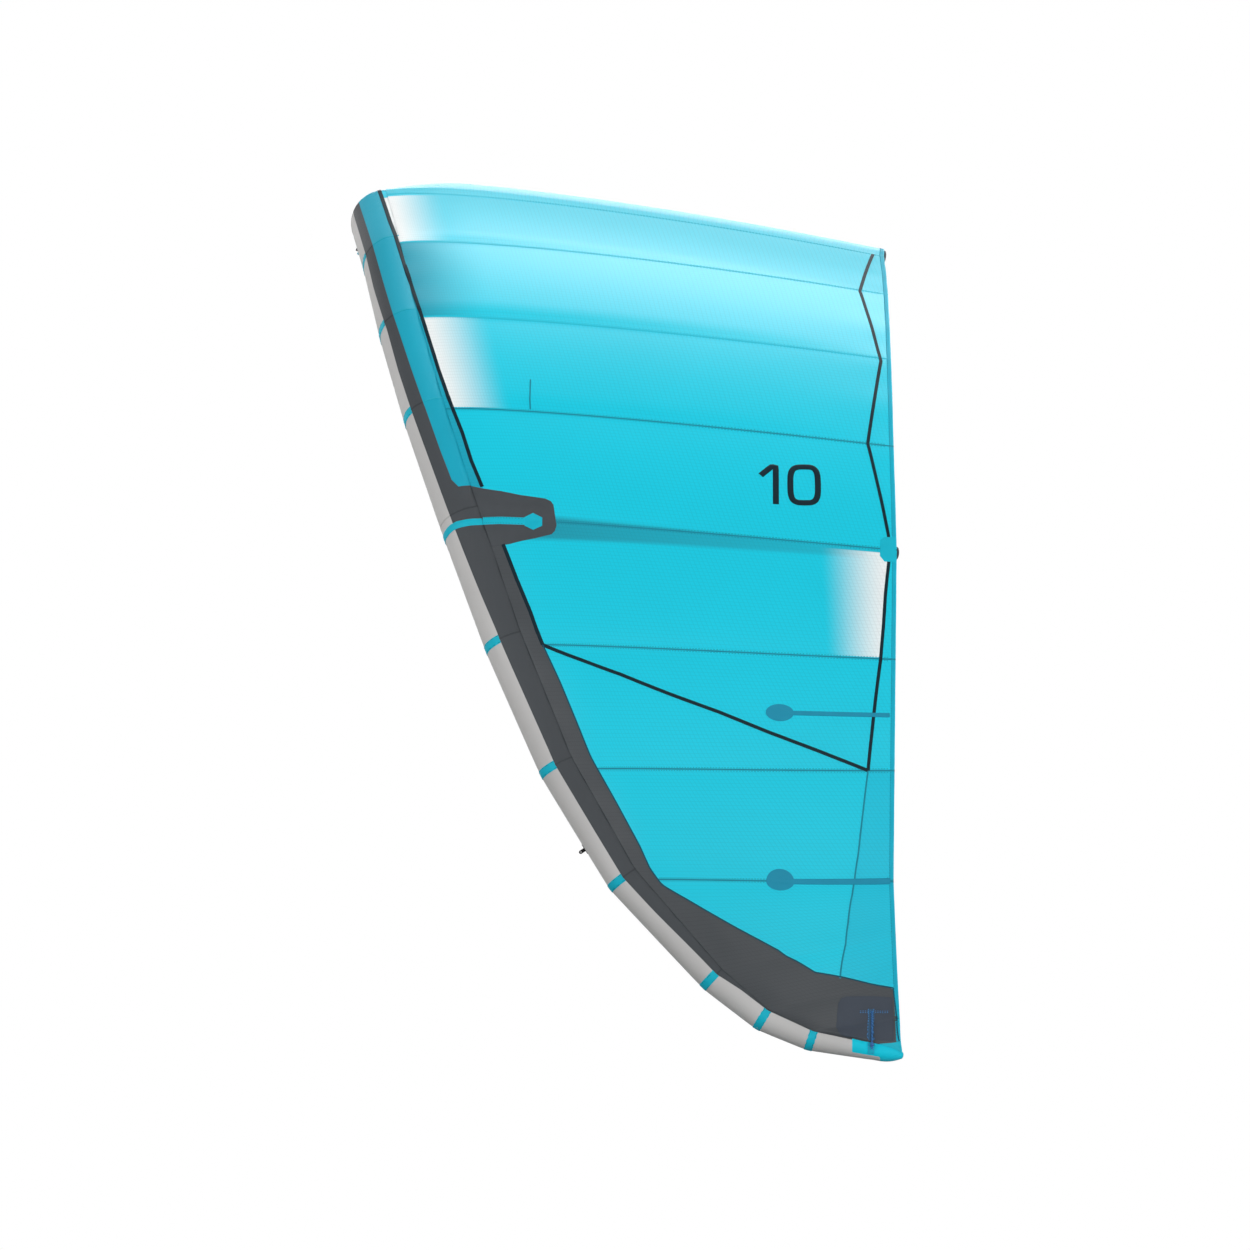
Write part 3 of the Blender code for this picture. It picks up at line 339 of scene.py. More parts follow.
def tube(e, turn, lift=0.0, side=1):
    """Points of the leading edge at a height off its casing.

    A point is the hub plus the radius times (sin turn * outward - cos turn * backward). Past
    place 12 the radius falls as 1 - 0.64 * s ** 2.4 while the ring moves s * depth along the
    tube, and past 13 a small dome shuts the end.
    """
    e, turn, lift = np.broadcast_arrays(np.asarray(e, float), turn, lift)
    inner = np.minimum(e, tip)
    dome = np.clip(e - tip, 0, 1)[..., None]
    nose = np.clip(e - tip - 1, 0, 1)[..., None]
    hub, radius = at(hub_at, inner), at(radius_at, inner)[..., None]
    across, out = unit(at(across_at, inner)), unit(at(out_at, inner))
    depth = radius * tip_cap_share
    gap = np.abs(e[..., None] - band_joints).min(-1) * joint_step
    pucker = np.exp(-gap / pucker_reach) * (0.7 + 0.3 * np.sin(pucker_count * turn + 3 * np.round(e)))
    pucker = pucker * pucker_depth * (e < tip)
    turn = turn[..., None]
    arm = np.sin(turn) * out - np.cos(turn) * across
    taper = (1 - (1 - cap_end_share) * dome ** cap_power) * np.sqrt(1 - nose ** 2)
    reach = radius * taper + (lift - pucker)[..., None] * np.sqrt(1 - nose ** 2)
    along = (depth + lift[..., None]) * dome + cap_end_depth * nose
    point = hub + arm * reach + forward[-1] * along
    return point if side > 0 else point * mirror


print("thickness at the wingtip:", round(2000 * radius_at[-1], 1), "mm")

# %% [markdown]
# A place on the canopy is a pair too: `w` counts seams from the middle line, with negative
# numbers on the kite's right, and `t` runs along a cubic Bezier curve from the foot on the
# tube (0) to the trailing edge (1). Between two seams the cloth swells a little.

# %% The canopy's surface
entry_run = 0.13
entry_rise = 0.025
exit_run = 0.364
exit_rise = 0.053
billow, crown_billow = 0.026, 0.036
billow_ramp = 0.25
nudge = 0.001
middle_reach = at(hub_at, np.array([1 + seam_shift]))[0, 0]
first_joint, second_joint = joints[0, 0], joints[1, 0]


def tube_place(a):
    """The place on the tube that a seam count stands at: seams sit a little outside joints."""
    x = a * middle_reach
    inside = np.where(x < first_joint, (x + first_joint) / (2 * first_joint),
                      1 + (x - first_joint) / (second_joint - first_joint))
    rest = (a - last_seam) * (1 - seam_shift) + last_seam + seam_shift
    outside = np.where(a <= last_seam, a + seam_shift, np.where(a < last_seam + 1, rest, a))
    return np.where(a <= 1, inside, outside)


def swell(a):
    """How far the cloth stands out between two seams: a parabola times the panel's width."""
    count = np.clip(a - 1, 0, tip - 1 - 1e-9)
    panel = np.floor(count)
    share = np.where(a >= tip, 1, count - panel)
    first = at(hub_at, tube_place(np.clip(panel + 1, 1, tip)))
    second = at(hub_at, tube_place(np.clip(panel + 2, 1, tip)))
    width = np.linalg.norm(second - first, axis=-1)
    middle = (np.minimum(a, 1) + 1) / 2
    inner = 2 * middle_reach * middle * (1 - middle)
    return 4 * np.where(a <= 1, crown_billow * inner, billow * width * share * (1 - share))


def rib(a):
    """Foot, rear end, and the upward direction of the chord at a seam count of the left side."""
    e = tube_place(a)
    hub, radius = at(hub_at, e), at(radius_at, e)[..., None]
    across, out = unit(at(across_at, e)), unit(at(out_at, e))
    turn = at(turn_at, e)[..., None]
    share = ((np.minimum(a, 1) + 1) / 2)[..., None]
    crown = (1 - share) * rears[0] * mirror + share * rears[0]
    rear = np.where((a <= 1)[..., None], crown, at(rear_at, np.clip(a - 1, 0, tip - 1)))
    along = unit(rear - hub)
    rise = unit(out - (out * along).sum(-1, keepdims=True) * along)
    arm = np.sin(turn) * out - np.cos(turn) * across
    return hub + arm * (radius + solid_cloth / 2 + seam_gap), rear, rise, along, at(camber_at, e)[..., None]


def bare_cloth(w, t):
    """Points of the canopy's middle surface, without creases."""
    a = np.abs(w)
    foot, rear, rise, along, depth = rib(a)
    length = np.linalg.norm(rear - foot, axis=-1, keepdims=True)
    lift = rise * length * depth
    front = foot + along * length * entry_run + lift * entry_rise
    back = rear - along * length * exit_run + lift * exit_rise
    t = t[..., None]
    s = 1 - t
    point = s ** 3 * foot + 3 * s * s * t * front + 3 * s * t * t * back + t ** 3 * rear
    ramp = np.minimum(t / billow_ramp, 1)
    ramp = ramp * ramp * (3 - 2 * ramp)
    point = point + swell(a)[..., None] * ramp * rise
    return np.where((w < 0)[..., None], point * mirror, point)


def crease(w, t):
    """Small waves where the cloth is gathered onto the tube and hangs slack at the rear."""
    front = 0.0014 * np.exp(-t / 0.05) * np.sin(6 * math.pi * w)
    rear = 0.0016 * np.exp((t - 1) / 0.06) * np.sin(4 * math.pi * w + 0.7)
    return front + rear


def cloth(w, t, lift=0.0):
    """Points at a height off the canopy, along the normal that two short steps give."""
    w, t, lift = np.broadcast_arrays(np.asarray(w, float), t, lift)
    w = np.clip(w, -tip, tip)
    slope_w = bare_cloth(np.minimum(w + nudge, tip), t) - bare_cloth(np.maximum(w - nudge, -tip), t)
    within = np.clip(t, nudge, 1 - nudge)
    slope_t = bare_cloth(w, within + nudge) - bare_cloth(w, within - nudge)
    normal = unit(np.cross(slope_w, slope_t))
    return bare_cloth(w, t) + normal * (lift + crease(w, t))[..., None]


print("chord in the middle:", round(float(np.linalg.norm(cloth(0, 1) - cloth(0, 0))), 3), "m")

# %% [markdown]
# ## Steering line pigtails
# The two free cords come first. Each lies down the outside of a wingtip and ends in a knot.
# Its route is the one that the solid follows, written as a list of points.

# %% Cord material
braid, tree = new_material("braided_blue_line")
# A real line's plaits are under 1 mm, too fine to see here, so they are drawn 2 mm apart.
where = add(tree, "ShaderNodeTexCoord")
plait = add(tree, "ShaderNodeTexWave", {"Vector": where.outputs["Object"], "Scale": 80.0,
            "Distortion": 2.0}, wave_type="BANDS", bands_direction="DIAGONAL")
tone = add(tree, "ShaderNodeMix", {0: plait.outputs["Fac"], 6: paint("#1B4F8C"), 7: paint("#2F79BE")},
           data_type="RGBA")
rough = add(tree, "ShaderNodeBump", {"Strength": 0.6, "Distance": 0.001, "Height": plait.outputs["Fac"]})
line = add(tree, "ShaderNodeBsdfPrincipled", {"Base Color": tone.outputs[2], "Roughness": 0.7,
           "Sheen Weight": 0.2, "Normal": rough.outputs[0]})
finish_material(braid, line.outputs[0])
print(braid.name, "uses", len(tree.nodes), "nodes")


# %% Cords and their knots
cord_radius = 0.0026
cord_sides = 12
cord_steps = 90
knot_turns = 2.5
knot_radius = 0.0042
pigtail_route = (
    (1.7359, 1.6140, -2.6003), (1.7354, 1.6140, -2.6101), (1.7349, 1.6140, -2.6199),
    (1.7345, 1.6140, -2.6295), (1.7352, 1.6139, -2.6387), (1.7376, 1.6138, -2.6477),
    (1.7414, 1.6138, -2.6570), (1.7458, 1.6139, -2.6670), (1.7506, 1.6141, -2.6772),
    (1.7535, 1.6142, -2.6870), (1.7565, 1.6142, -2.6962), (1.7595, 1.6141, -2.7057),
    (1.7623, 1.6138, -2.7161), (1.7639, 1.6135, -2.7273),
)


def resample(route, count):
    """Points at equal steps along a route of straight runs."""
    route = np.asarray(route, dtype=float)
    length = np.append(0, np.cumsum(np.linalg.norm(np.diff(route, axis=0), axis=1)))
    steps = np.linspace(0, length[-1], count)
    return np.stack([np.interp(steps, length, column) for column in route.T], axis=1)


def sweep(route, radii, sides, twist=0.0):
    """Rings square to a route. Each ring's first arm is the last one's, made square again."""
    tangents = unit(np.gradient(route, axis=0))
    arm = np.cross(np.eye(3)[np.argmin(np.abs(tangents[0]))], tangents[0])
    turns = np.linspace(0, 2 * math.pi, sides, endpoint=False)
    rings = []
    for point, tangent, radius in zip(route, tangents, radii):
        arm = unit(arm - arm.dot(tangent) * tangent)
        other = np.cross(tangent, arm)
        ring = np.outer(np.cos(turns), arm) + np.outer(np.sin(turns), other)
        rings.append(point + radius * ring)
    return np.array(rings)


for name, side in (("left", 1), ("right", -1)):
    route = resample(pigtail_route, cord_steps) * (side, 1, 1)
    end = route[-12]
    aim = unit(route[-1] - route[-20])
    turns = np.linspace(0, 2 * math.pi * knot_turns, 60)[:, None]
    first = unit(np.cross(aim, (0, 1, 0)))
    second = np.cross(aim, first)
    coil = end + knot_radius * (np.cos(turns) * first + np.sin(turns) * second)
    coil = coil + aim * (turns / turns[-1] - 0.5) * 4.2 * cord_radius
    knot = put("pigtail_knot_" + name, *skin(sweep(coil, [cord_radius * 0.9] * len(coil), cord_sides)), braid)
    cord = put("pigtail_cord_" + name, *skin(sweep(route, [cord_radius] * len(route), cord_sides)), braid,
               node=["pigtail_" + name])

# %% [markdown]
# ## Laying strips and patches on a surface
# A seam, a printed line or a tape is a thin strip that follows the cloth. `strip` takes a
# path in a surface's own two coordinates and a width in metres. To step sideways by a true
# distance, it turns metres into steps of the two coordinates with the surface's slopes.


# %% Strips and patches
def walk(surface, corners, spacing):
    """The corners of a path in surface coordinates, with points added at an even spacing."""
    corners = np.asarray(corners, dtype=float)
    pieces = []
    for first, second in zip(corners[:-1], corners[1:]):
        ends = surface(*np.stack((first, second)).T)
        count = max(2, int(math.ceil(np.linalg.norm(ends[1] - ends[0]) / spacing)) + 1)
        pieces.append(first + (second - first) * np.linspace(0, 1, count)[:-1, None])
    return np.vstack(pieces + [corners[-1:]])


def sideways(surface, path, distances):
    """Surface coordinates at true distances to the side of each point of a path.

    The slopes of the surface form a 3 by 2 table; its pseudo-inverse times the side direction
    gives the steps of the two coordinates that move one metre sideways.
    """
    u, v = path.T
    slope_u = (surface(u + nudge, v) - surface(u - nudge, v)) / (2 * nudge)
    slope_v = (surface(u, v + nudge) - surface(u, v - nudge)) / (2 * nudge)
    slopes = np.stack((slope_u, slope_v), axis=-1)
    along = np.gradient(surface(u, v), axis=0)
    side = unit(np.cross(np.cross(slope_u, slope_v), along))
    steps = np.einsum("nij,nj->ni", np.linalg.pinv(slopes), side)
    return path[:, None] + np.asarray(distances)[None, :, None] * steps[:, None]


def strip(name, surface, corners, width, material, top=0.0011, bottom=-0.0011, spacing=0.012, **more):
    """A thin closed strip along a path, rounded off at its two long edges."""
    path = walk(surface, corners, spacing)
    shares = np.array((-0.5, -0.4, -0.12, 0.12, 0.4, 0.5, 0.4, 0.12, -0.12, -0.4))
    middle = (top + bottom) / 2
    lifts = np.array((middle, top, top, top, top, middle, bottom, bottom, bottom, bottom))
    spots = sideways(surface, path, shares * width)
    return put(name, *skin(surface(spots[..., 0], spots[..., 1], lifts)), material, **more)


def patch(name, surface, corners, centre, material, top=0.0012, bottom=-0.0012, spacing=0.01, **more):
    """A thin closed patch inside an outline that its centre can see all of.

    Rings of points lie at shares of the way from the centre to the outline, a spacing apart.
    """
    edge = walk(surface, list(corners) + [corners[0]], spacing)[:-1]
    edge = edge[:len(edge) // 2 * 2]
    centre = np.asarray(centre, dtype=float)
    reach = np.linalg.norm(surface(*edge.T) - surface(*centre), axis=1).max()
    inner = np.append(np.linspace(0.02, 0.97, max(3, int(reach / spacing))), 0.99)
    shares = np.concatenate((inner, (1.0,), inner[::-1]))[:, None, None]
    middle = (top + bottom) / 2
    lifts = np.array([top] * len(inner) + [middle] + [bottom] * len(inner))[:, None]
    spots = centre + (edge - centre) * shares
    return put(name, *skin(surface(spots[..., 0], spots[..., 1], lifts)), material, **more)


def stitches(name, surface, corners, offsets, material, top, dash=0.005, gap=0.004, width=0.0014, **more):
    """Rows of thread dashes at distances beside a path, each dash a small closed bar.

    A sewing machine's stitches are 3 mm long. They are drawn 5 mm long, so that they show.
    """
    bars, faces = [], skin(np.zeros((2, 4, 3)))[1]
    path = walk(surface, corners, (dash + gap) / 2)
    path = path[:len(path) // 2 * 2]
    for offset in offsets:
        spots = sideways(surface, path, (offset - width / 2, offset + width / 2))
        upper = surface(spots[..., 0], spots[..., 1], top)
        lower = surface(spots[..., 0], spots[..., 1], top - width)
        bars.append(np.concatenate((upper, lower[:, ::-1]), axis=1).reshape(-1, 8, 3))
    bars = np.concatenate(bars)
    faces = faces[None] + 8 * np.arange(len(bars))[:, None, None]
    return put(name, bars.reshape(-1, 3), faces.reshape(-1, 4), material, **more)


def left_tube(e, turn, lift=0.0):
    return tube(e, turn, lift, 1)


def right_tube(e, turn, lift=0.0):
    return tube(e, turn, lift, -1)


def flipped(corners, side):
    """Canopy corners on the left (1) or the right (-1) half."""
    return [(w * side, t) for w, t in corners]


halves = (("left", 1, left_tube), ("right", -1, right_tube))
print("a 0.1 m path walks in", len(walk(left_tube, ((2, 0), (2, 1)), 0.012)), "points")

# %% [markdown]
# ## Cloth materials
# The leading edge is sewn from light grey, dark grey and turquoise sailcloth, and the canopy
# is turquoise ripstop that fades to white in three places. The pieces carry named numbers:
# distances to the lines where one colour meets another. The material compares these with
# zero, so the lines stay crisp however coarse the mesh is.

# %% Sailcloth of the tube
light_grey = paint("#C6C5C4")
dark_grey = paint("#474B4F")
turquoise = paint("#00CFE8")
deep_turquoise = paint("#0BA7C2")
edge_softness = 0.0006

sailcloth, tree = new_material("sewn_polyester_sailcloth")
# The yarns of such cloth are 0.4 mm apart, too fine to show, so the weave is drawn at 9 mm
# and kept faint: the eye reads it as woven, not as moulded.
where = add(tree, "ShaderNodeTexCoord")
colour = light_grey
fade_white = paint("#F6FAFA")
for field, tint in (("dark_line", dark_grey), ("blue_line", deep_turquoise), ("canopy_line", turquoise),
                    ("fade_line", fade_white), ("cap_line", turquoise)):
    value = add(tree, "ShaderNodeAttribute", attribute_name=field)
    share = add(tree, "ShaderNodeMapRange", {"Value": value.outputs["Fac"], "From Min": -edge_softness,
                "From Max": edge_softness})
    colour = add(tree, "ShaderNodeMix", {0: share.outputs[0], 6: colour, 7: tint},
                 data_type="RGBA").outputs[2]
cloud = add(tree, "ShaderNodeTexNoise", {"Vector": where.outputs["Object"], "Scale": 3.0, "Detail": 3.0})
cloud_tone = add(tree, "ShaderNodeMapRange", {"Value": cloud.outputs["Fac"], "To Min": 0.9, "To Max": 1.08})
toned = add(tree, "ShaderNodeVectorMath", {0: colour, 1: cloud_tone.outputs[0]}, operation="MULTIPLY")
weave = add(tree, "ShaderNodeTexChecker", {"Vector": where.outputs["Object"], "Scale": 220.0})
grain = add(tree, "ShaderNodeTexNoise", {"Vector": where.outputs["Object"], "Scale": 45.0, "Detail": 4.0})
relief = add(tree, "ShaderNodeMath", {0: weave.outputs["Fac"], 1: 0.15, 2: grain.outputs["Fac"]},
             operation="MULTIPLY_ADD")
bump = add(tree, "ShaderNodeBump", {"Strength": 0.25, "Distance": 0.002, "Height": relief.outputs[0]})
shader = add(tree, "ShaderNodeBsdfPrincipled", {"Base Color": toned.outputs[0], "Roughness": 0.62,
             "Specular IOR Level": 0.25, "Sheen Weight": 0.08, "Normal": bump.outputs[0]})
finish_material(sailcloth, shader.outputs[0])
print(sailcloth.name, "uses", len(tree.nodes), "nodes")

# %% Ripstop of the canopy
ripstop_cell = 0.013
fades = (
    ("crown fade", 1.05, 1.985, 0.19, 0.0, fade_white),
    ("darker front", 2.0, 2.985, 0.26, 0.0, paint("#0E9DB6")),
    ("shoulder fade", 3.0, 3.985, 0.24, 0.02, fade_white),
    ("rear fade", 5.04, 5.985, 0.835, 0.985, fade_white),
)

ripstop, tree = new_material("coated_ripstop")
# Real ripstop has a thicker thread every 5 mm. It is drawn every 13 mm, so that the squares
# just show. The coating gives a soft, broad shine, and a little sheen pales the ridge.
seam = add(tree, "ShaderNodeAttribute", attribute_name="seam_count").outputs["Fac"]
chord = add(tree, "ShaderNodeAttribute", attribute_name="chord_share").outputs["Fac"]


def crisp(field):
    """0 on one side of a line and 1 on the other, with a hair of softness between."""
    value = add(tree, "ShaderNodeAttribute", attribute_name=field)
    return add(tree, "ShaderNodeMapRange", {"Value": value.outputs["Fac"], "From Min": -edge_softness,
               "From Max": edge_softness}).outputs[0]


aft = add(tree, "ShaderNodeMath", {0: crisp("aft_line"), 1: 0.75}, operation="MULTIPLY")
colour = add(tree, "ShaderNodeMix", {0: aft.outputs[0], 6: turquoise, 7: paint("#04C3DF")}, data_type="RGBA")
# Painted shade: a darker band along seam 5 stands for the side strut's shadow seen through the cloth. It is narrower
# and fainter towards the trailing edge.
offset = add(tree, "ShaderNodeMath", {0: seam, 1: 5.055}, operation="SUBTRACT")
offset = add(tree, "ShaderNodeMath", {0: offset.outputs[0]}, operation="ABSOLUTE")
reach = add(tree, "ShaderNodeMath", {0: chord, 1: -0.08, 2: 0.14}, operation="MULTIPLY_ADD")
depth = add(tree, "ShaderNodeMapRange", {"Value": chord, "From Min": 0.25, "From Max": 0.95, "To Min": 0.85,
            "To Max": 0.35})
painted_strut_shade = add(tree, "ShaderNodeMath", {0: reach.outputs[0], 1: offset.outputs[0]}, operation="SUBTRACT")
painted_strut_shade = add(tree, "ShaderNodeMapRange", {"Value": painted_strut_shade.outputs[0], "From Min": 0.0, "From Max": 0.05,
            "To Max": depth.outputs[0]}, interpolation_type="SMOOTHSTEP")
colour = add(tree, "ShaderNodeMix", {0: painted_strut_shade.outputs[0], 6: colour.outputs[2], 7: paint("#1594AA")},
             data_type="RGBA")
front_strip = add(tree, "ShaderNodeMix", {0: crisp("front_line"), 6: deep_turquoise, 7: colour.outputs[2]},
                  data_type="RGBA").outputs[2]
colour = front_strip
for title, seam_low, seam_high, chord_gone, chord_full, tint in fades:
    low = add(tree, "ShaderNodeMapRange", {"Value": seam, "From Min": seam_low - 0.004, "From Max": seam_low})
    high = add(tree, "ShaderNodeMapRange", {"Value": seam, "From Min": seam_high + 0.004,
               "From Max": seam_high})
    along = add(tree, "ShaderNodeMapRange", {"Value": chord, "From Min": chord_gone, "From Max": chord_full},
                interpolation_type="SMOOTHSTEP")
    line_side = crisp("front_line") if chord_full < 0.5 else crisp("rear_line")
    share = low.outputs[0]
    for other in (high.outputs[0], along.outputs[0], line_side):
        share = add(tree, "ShaderNodeMath", {0: share, 1: other}, operation="MULTIPLY").outputs[0]
    colour = add(tree, "ShaderNodeMix", {0: share, 6: colour, 7: tint}, data_type="RGBA").outputs[2]
colour = add(tree, "ShaderNodeMix", {0: crisp("dark_line"), 6: colour, 7: dark_grey},
             data_type="RGBA").outputs[2]
sheet_place = add(tree, "ShaderNodeUVMap", uv_map="metres")
cells = add(tree, "ShaderNodeTexBrick", {"Vector": sheet_place.outputs[0], "Scale": 1.0,
            "Mortar Size": 0.0012, "Mortar Smooth": 0.6, "Brick Width": ripstop_cell,
            "Row Height": ripstop_cell}, offset=0.0)
where = add(tree, "ShaderNodeTexCoord")
cloud = add(tree, "ShaderNodeTexNoise", {"Vector": where.outputs["Object"], "Scale": 2.2, "Detail": 4.0})
cloud_tone = add(tree, "ShaderNodeMapRange", {"Value": cloud.outputs["Fac"], "To Min": 0.96, "To Max": 1.04})
thread_tone = add(tree, "ShaderNodeMapRange", {"Value": cells.outputs["Fac"], "To Min": 1.0, "To Max": 0.88})
tone = add(tree, "ShaderNodeMath", {0: cloud_tone.outputs[0], 1: thread_tone.outputs[0]}, operation="MULTIPLY")
toned = add(tree, "ShaderNodeVectorMath", {0: colour, 1: tone.outputs[0]}, operation="MULTIPLY")
bump = add(tree, "ShaderNodeBump", {"Strength": 0.12, "Distance": 0.001, "Height": cells.outputs["Fac"]})
crinkle = add(tree, "ShaderNodeBump", {"Strength": 0.1, "Distance": 0.004, "Height": cloud.outputs["Fac"],
              "Normal": bump.outputs[0]})
shader = add(tree, "ShaderNodeBsdfPrincipled", {"Base Color": toned.outputs[0], "Roughness": 0.45,
             "Specular IOR Level": 0.4, "Sheen Weight": 0.1, "Sheen Roughness": 0.3,
             "Normal": crinkle.outputs[0]})
finish_material(ripstop, shader.outputs[0])
print(ripstop.name, "uses", len(tree.nodes), "nodes")


# %% Tapes, print and moulded plastic
def plain_cloth(name, code, roughness=0.6, specular=0.25):
    """A one-colour woven tape: a faint cloudy tone and a fine grain keep it from looking moulded."""
    material, tree = new_material(name)
    where = add(tree, "ShaderNodeTexCoord")
    cloud = add(tree, "ShaderNodeTexNoise", {"Vector": where.outputs["Object"], "Scale": 12.0, "Detail": 4.0})
    tone = add(tree, "ShaderNodeMapRange", {"Value": cloud.outputs["Fac"], "To Min": 0.88, "To Max": 1.12})
    toned = add(tree, "ShaderNodeVectorMath", {0: paint(code)[:3], 1: tone.outputs[0]}, operation="MULTIPLY")
    grain = add(tree, "ShaderNodeTexNoise", {"Vector": where.outputs["Object"], "Scale": 300.0})
    bump = add(tree, "ShaderNodeBump", {"Strength": 0.3, "Distance": 0.001, "Height": grain.outputs["Fac"]})
    shader = add(tree, "ShaderNodeBsdfPrincipled", {"Base Color": toned.outputs[0], "Roughness": roughness,
                 "Specular IOR Level": specular, "Normal": bump.outputs[0]})
    return finish_material(material, shader.outputs[0])


seam_tape = plain_cloth("seam_tape_dark_turquoise", "#15889E")
faint_tape = plain_cloth("seam_tape_turquoise", "#1BBDD4")
hem_tape = plain_cloth("hem_tape_turquoise", "#0DAECA")
band_tape = plain_cloth("joint_tape_turquoise", "#0BB7CF")
grey_tape = plain_cloth("joint_tape_grey", "#3F4347")
light_tape = plain_cloth("joint_tape_light_grey", "#B4B3B2")
joint_blue = plain_cloth("joint_tape_deep_turquoise", "#1AA9C0")
black_print = plain_cloth("black_printed_line", "#02212C")
patch_cloth = plain_cloth("patch_dark_turquoise", "#1A8FAE")
arm_cloth = plain_cloth("reinforcement_dark_grey", "#474B4F", 0.62)
wing_tape = plain_cloth("wing_seam_tape_deep_teal", "#0F4F62")
wing_patch = plain_cloth("wingtip_patch_slate", "#434A55", 0.6)
strut_cloth = plain_cloth("strut_sailcloth_dark", "#3C4146", 0.65)
film = plain_cloth("bladder_film", "#C9CFCB", 0.3, 0.5)
silicone = plain_cloth("hose_silicone_grey", "#8C9296", 0.4, 0.5)
webbing = plain_cloth("black_webbing", "#17181A", 0.75)
strap_cloth = plain_cloth("wingtip_strap_blue_grey", "#3A5873", 0.7)
turquoise_thread = plain_cloth("sewing_thread_turquoise", "#0C7D92", 0.7)
faint_thread = plain_cloth("sewing_thread_pale_turquoise", "#12B2C9", 0.7)
blue_thread = plain_cloth("sewing_thread_blue", "#4B93D6", 0.7)
dark_thread = plain_cloth("sewing_thread_dark", "#24272A", 0.7)


def moulded(name, code, roughness=0.42):
    """Moulded plastic: a fine spark-eroded grain breaks up the highlight on a satin face."""
    material, tree = new_material(name)
    where = add(tree, "ShaderNodeTexCoord")
    grain = add(tree, "ShaderNodeTexNoise", {"Vector": where.outputs["Object"], "Scale": 900.0, "Detail": 2.0})
    tone = add(tree, "ShaderNodeMapRange", {"Value": grain.outputs["Fac"], "To Min": 0.93, "To Max": 1.07})
    toned = add(tree, "ShaderNodeVectorMath", {0: paint(code)[:3], 1: tone.outputs[0]}, operation="MULTIPLY")
    bump = add(tree, "ShaderNodeBump", {"Strength": 0.15, "Distance": 0.0003, "Height": grain.outputs["Fac"]})
    shader = add(tree, "ShaderNodeBsdfPrincipled", {"Base Color": toned.outputs[0], "Roughness": roughness,
                 "Normal": bump.outputs[0]})
    return finish_material(material, shader.outputs[0])


black_nylon = moulded("moulded_black_nylon", "#1B1D1F")
grey_nylon = moulded("moulded_grey_nylon", "#74787B")
blue_nylon = moulded("moulded_turquoise_nylon", "#12AFC6", 0.38)
print("materials:", len(bpy.data.materials))

# %% [markdown]
# ## The leading edge
# Nineteen segments are sewn end to end. The lines where its colours meet are given as turns
# round the tube, in shares of half a turn, at places along it.

# %% Lines between the tube's colours
dark_turns = ((1, 0.107), (2.5, 0.133), (3.1, 0.189), (3.54, 0.189), (4.0, 0.217), (4.57, 0.247),
              (5.28, 0.286), (5.6, 0.311), (5.93, 0.35), (6.25, 0.361), (6.88, 0.388), (7.58, 0.406),
              (8.33, 0.436), (8.54, 0.461), (8.75, 0.489), (8.95, 0.51), (9.46, 0.586), (10, 0.62), (12, 0.68))
blue_turns = ((1, 0.22), (2, 0.25), (2.65, 0.286), (3.18, 0.323), (3.63, 0.35), (4.07, 0.385),
              (4.45, 0.40), (4.635, 0.415), (4.79, 0.425), (4.81, 0.51), (4.825, 0.59), (4.835, 0.69), (4.84, 1.2),
              (13, 1.2))
canopy_turns = ((1, 0.455), (1.23, 0.464), (1.71, 0.481), (2.21, 0.514), (2.54, 0.544), (2.7, 1.2),
                (13, 1.2))
cap_back, cap_underside_back = 1.548, 1.64
cap_turn = 0.3
wall = 0.0012
edge_sides = 72
edge_rows = 20
bladder_inset = 0.0024
film_wall = 0.0008


def turn_line(table, e):
    """The turn, in radians, of a line between two colours."""
    spots, turns = np.array(table).T
    return np.interp(e, spots, turns) * math.pi


def edge_fields(e, turn, points):
    """Distances in metres past each line round the tube, and past the wingtip's cap seam."""
    radius = at(radius_at, np.minimum(e, tip))
    past = {name: (turn - turn_line(table, e)) * radius
            for name, table in (("dark_line", dark_turns), ("blue_line", blue_turns),
                                ("canopy_line", canopy_turns))}
    inside = np.minimum(e - tube_place(fades[0][1]), tube_place(fades[0][2]) - e) * joint_step
    past["fade_line"] = np.minimum(past["canopy_line"], inside)
    end_seam = np.minimum(points[..., 1] - cap_back, (np.abs(turn) - cap_turn * math.pi) * radius)
    past["cap_line"] = np.where(e < tip - 1, -1.0, np.maximum(end_seam, points[..., 1] - cap_underside_back))
    return past


valve_offset = 0.16
valve_turn = -0.34 * math.pi
valve_bore = 0.0195
valve_axis_reach = 0.03
valve_place = np.array((valve_offset + joints[0, 0]) / (2 * joints[0, 0]))
valve_seat = tube(valve_place, valve_turn)
valve_axis = unit(valve_seat - at(hub_at, valve_place))


def pierce(points, faces, partner, radius):
    """The valve's round hole through a wall of two layers: points and faces.

    Faces whose middle lies within a radius of the valve's axis go. The points round the gap
    are moved out onto the circle, and quads join each edge there to its partner in the other
    layer. The first half of the points is the outer layer.
    """
    offset = points - valve_seat
    along = offset @ valve_axis
    flat = offset - along[:, None] * valve_axis
    middle_along, middle_flat = along[faces].mean(1), flat[faces].mean(1)
    gone = (np.abs(middle_along) < valve_axis_reach) & (np.linalg.norm(middle_flat, axis=1) < radius)
    outer = faces[gone & (faces < len(points) // 2).all(1)]
    edges = np.concatenate([outer[:, [k, (k + 1) % 4]] for k in range(4)])
    _, first, count = np.unique(np.sort(edges, axis=1), axis=0, return_index=True, return_counts=True)
    rim = edges[first[count == 1]]
    for spots in (np.unique(rim), partner(np.unique(rim))):
        points[spots] += flat[spots] * (radius / np.linalg.norm(flat[spots], axis=1, keepdims=True) - 1)
    walls = np.stack((rim[:, 0], rim[:, 1], partner(rim[:, 1]), partner(rim[:, 0])), axis=1)
    return points, np.vstack((faces[~gone], walls))


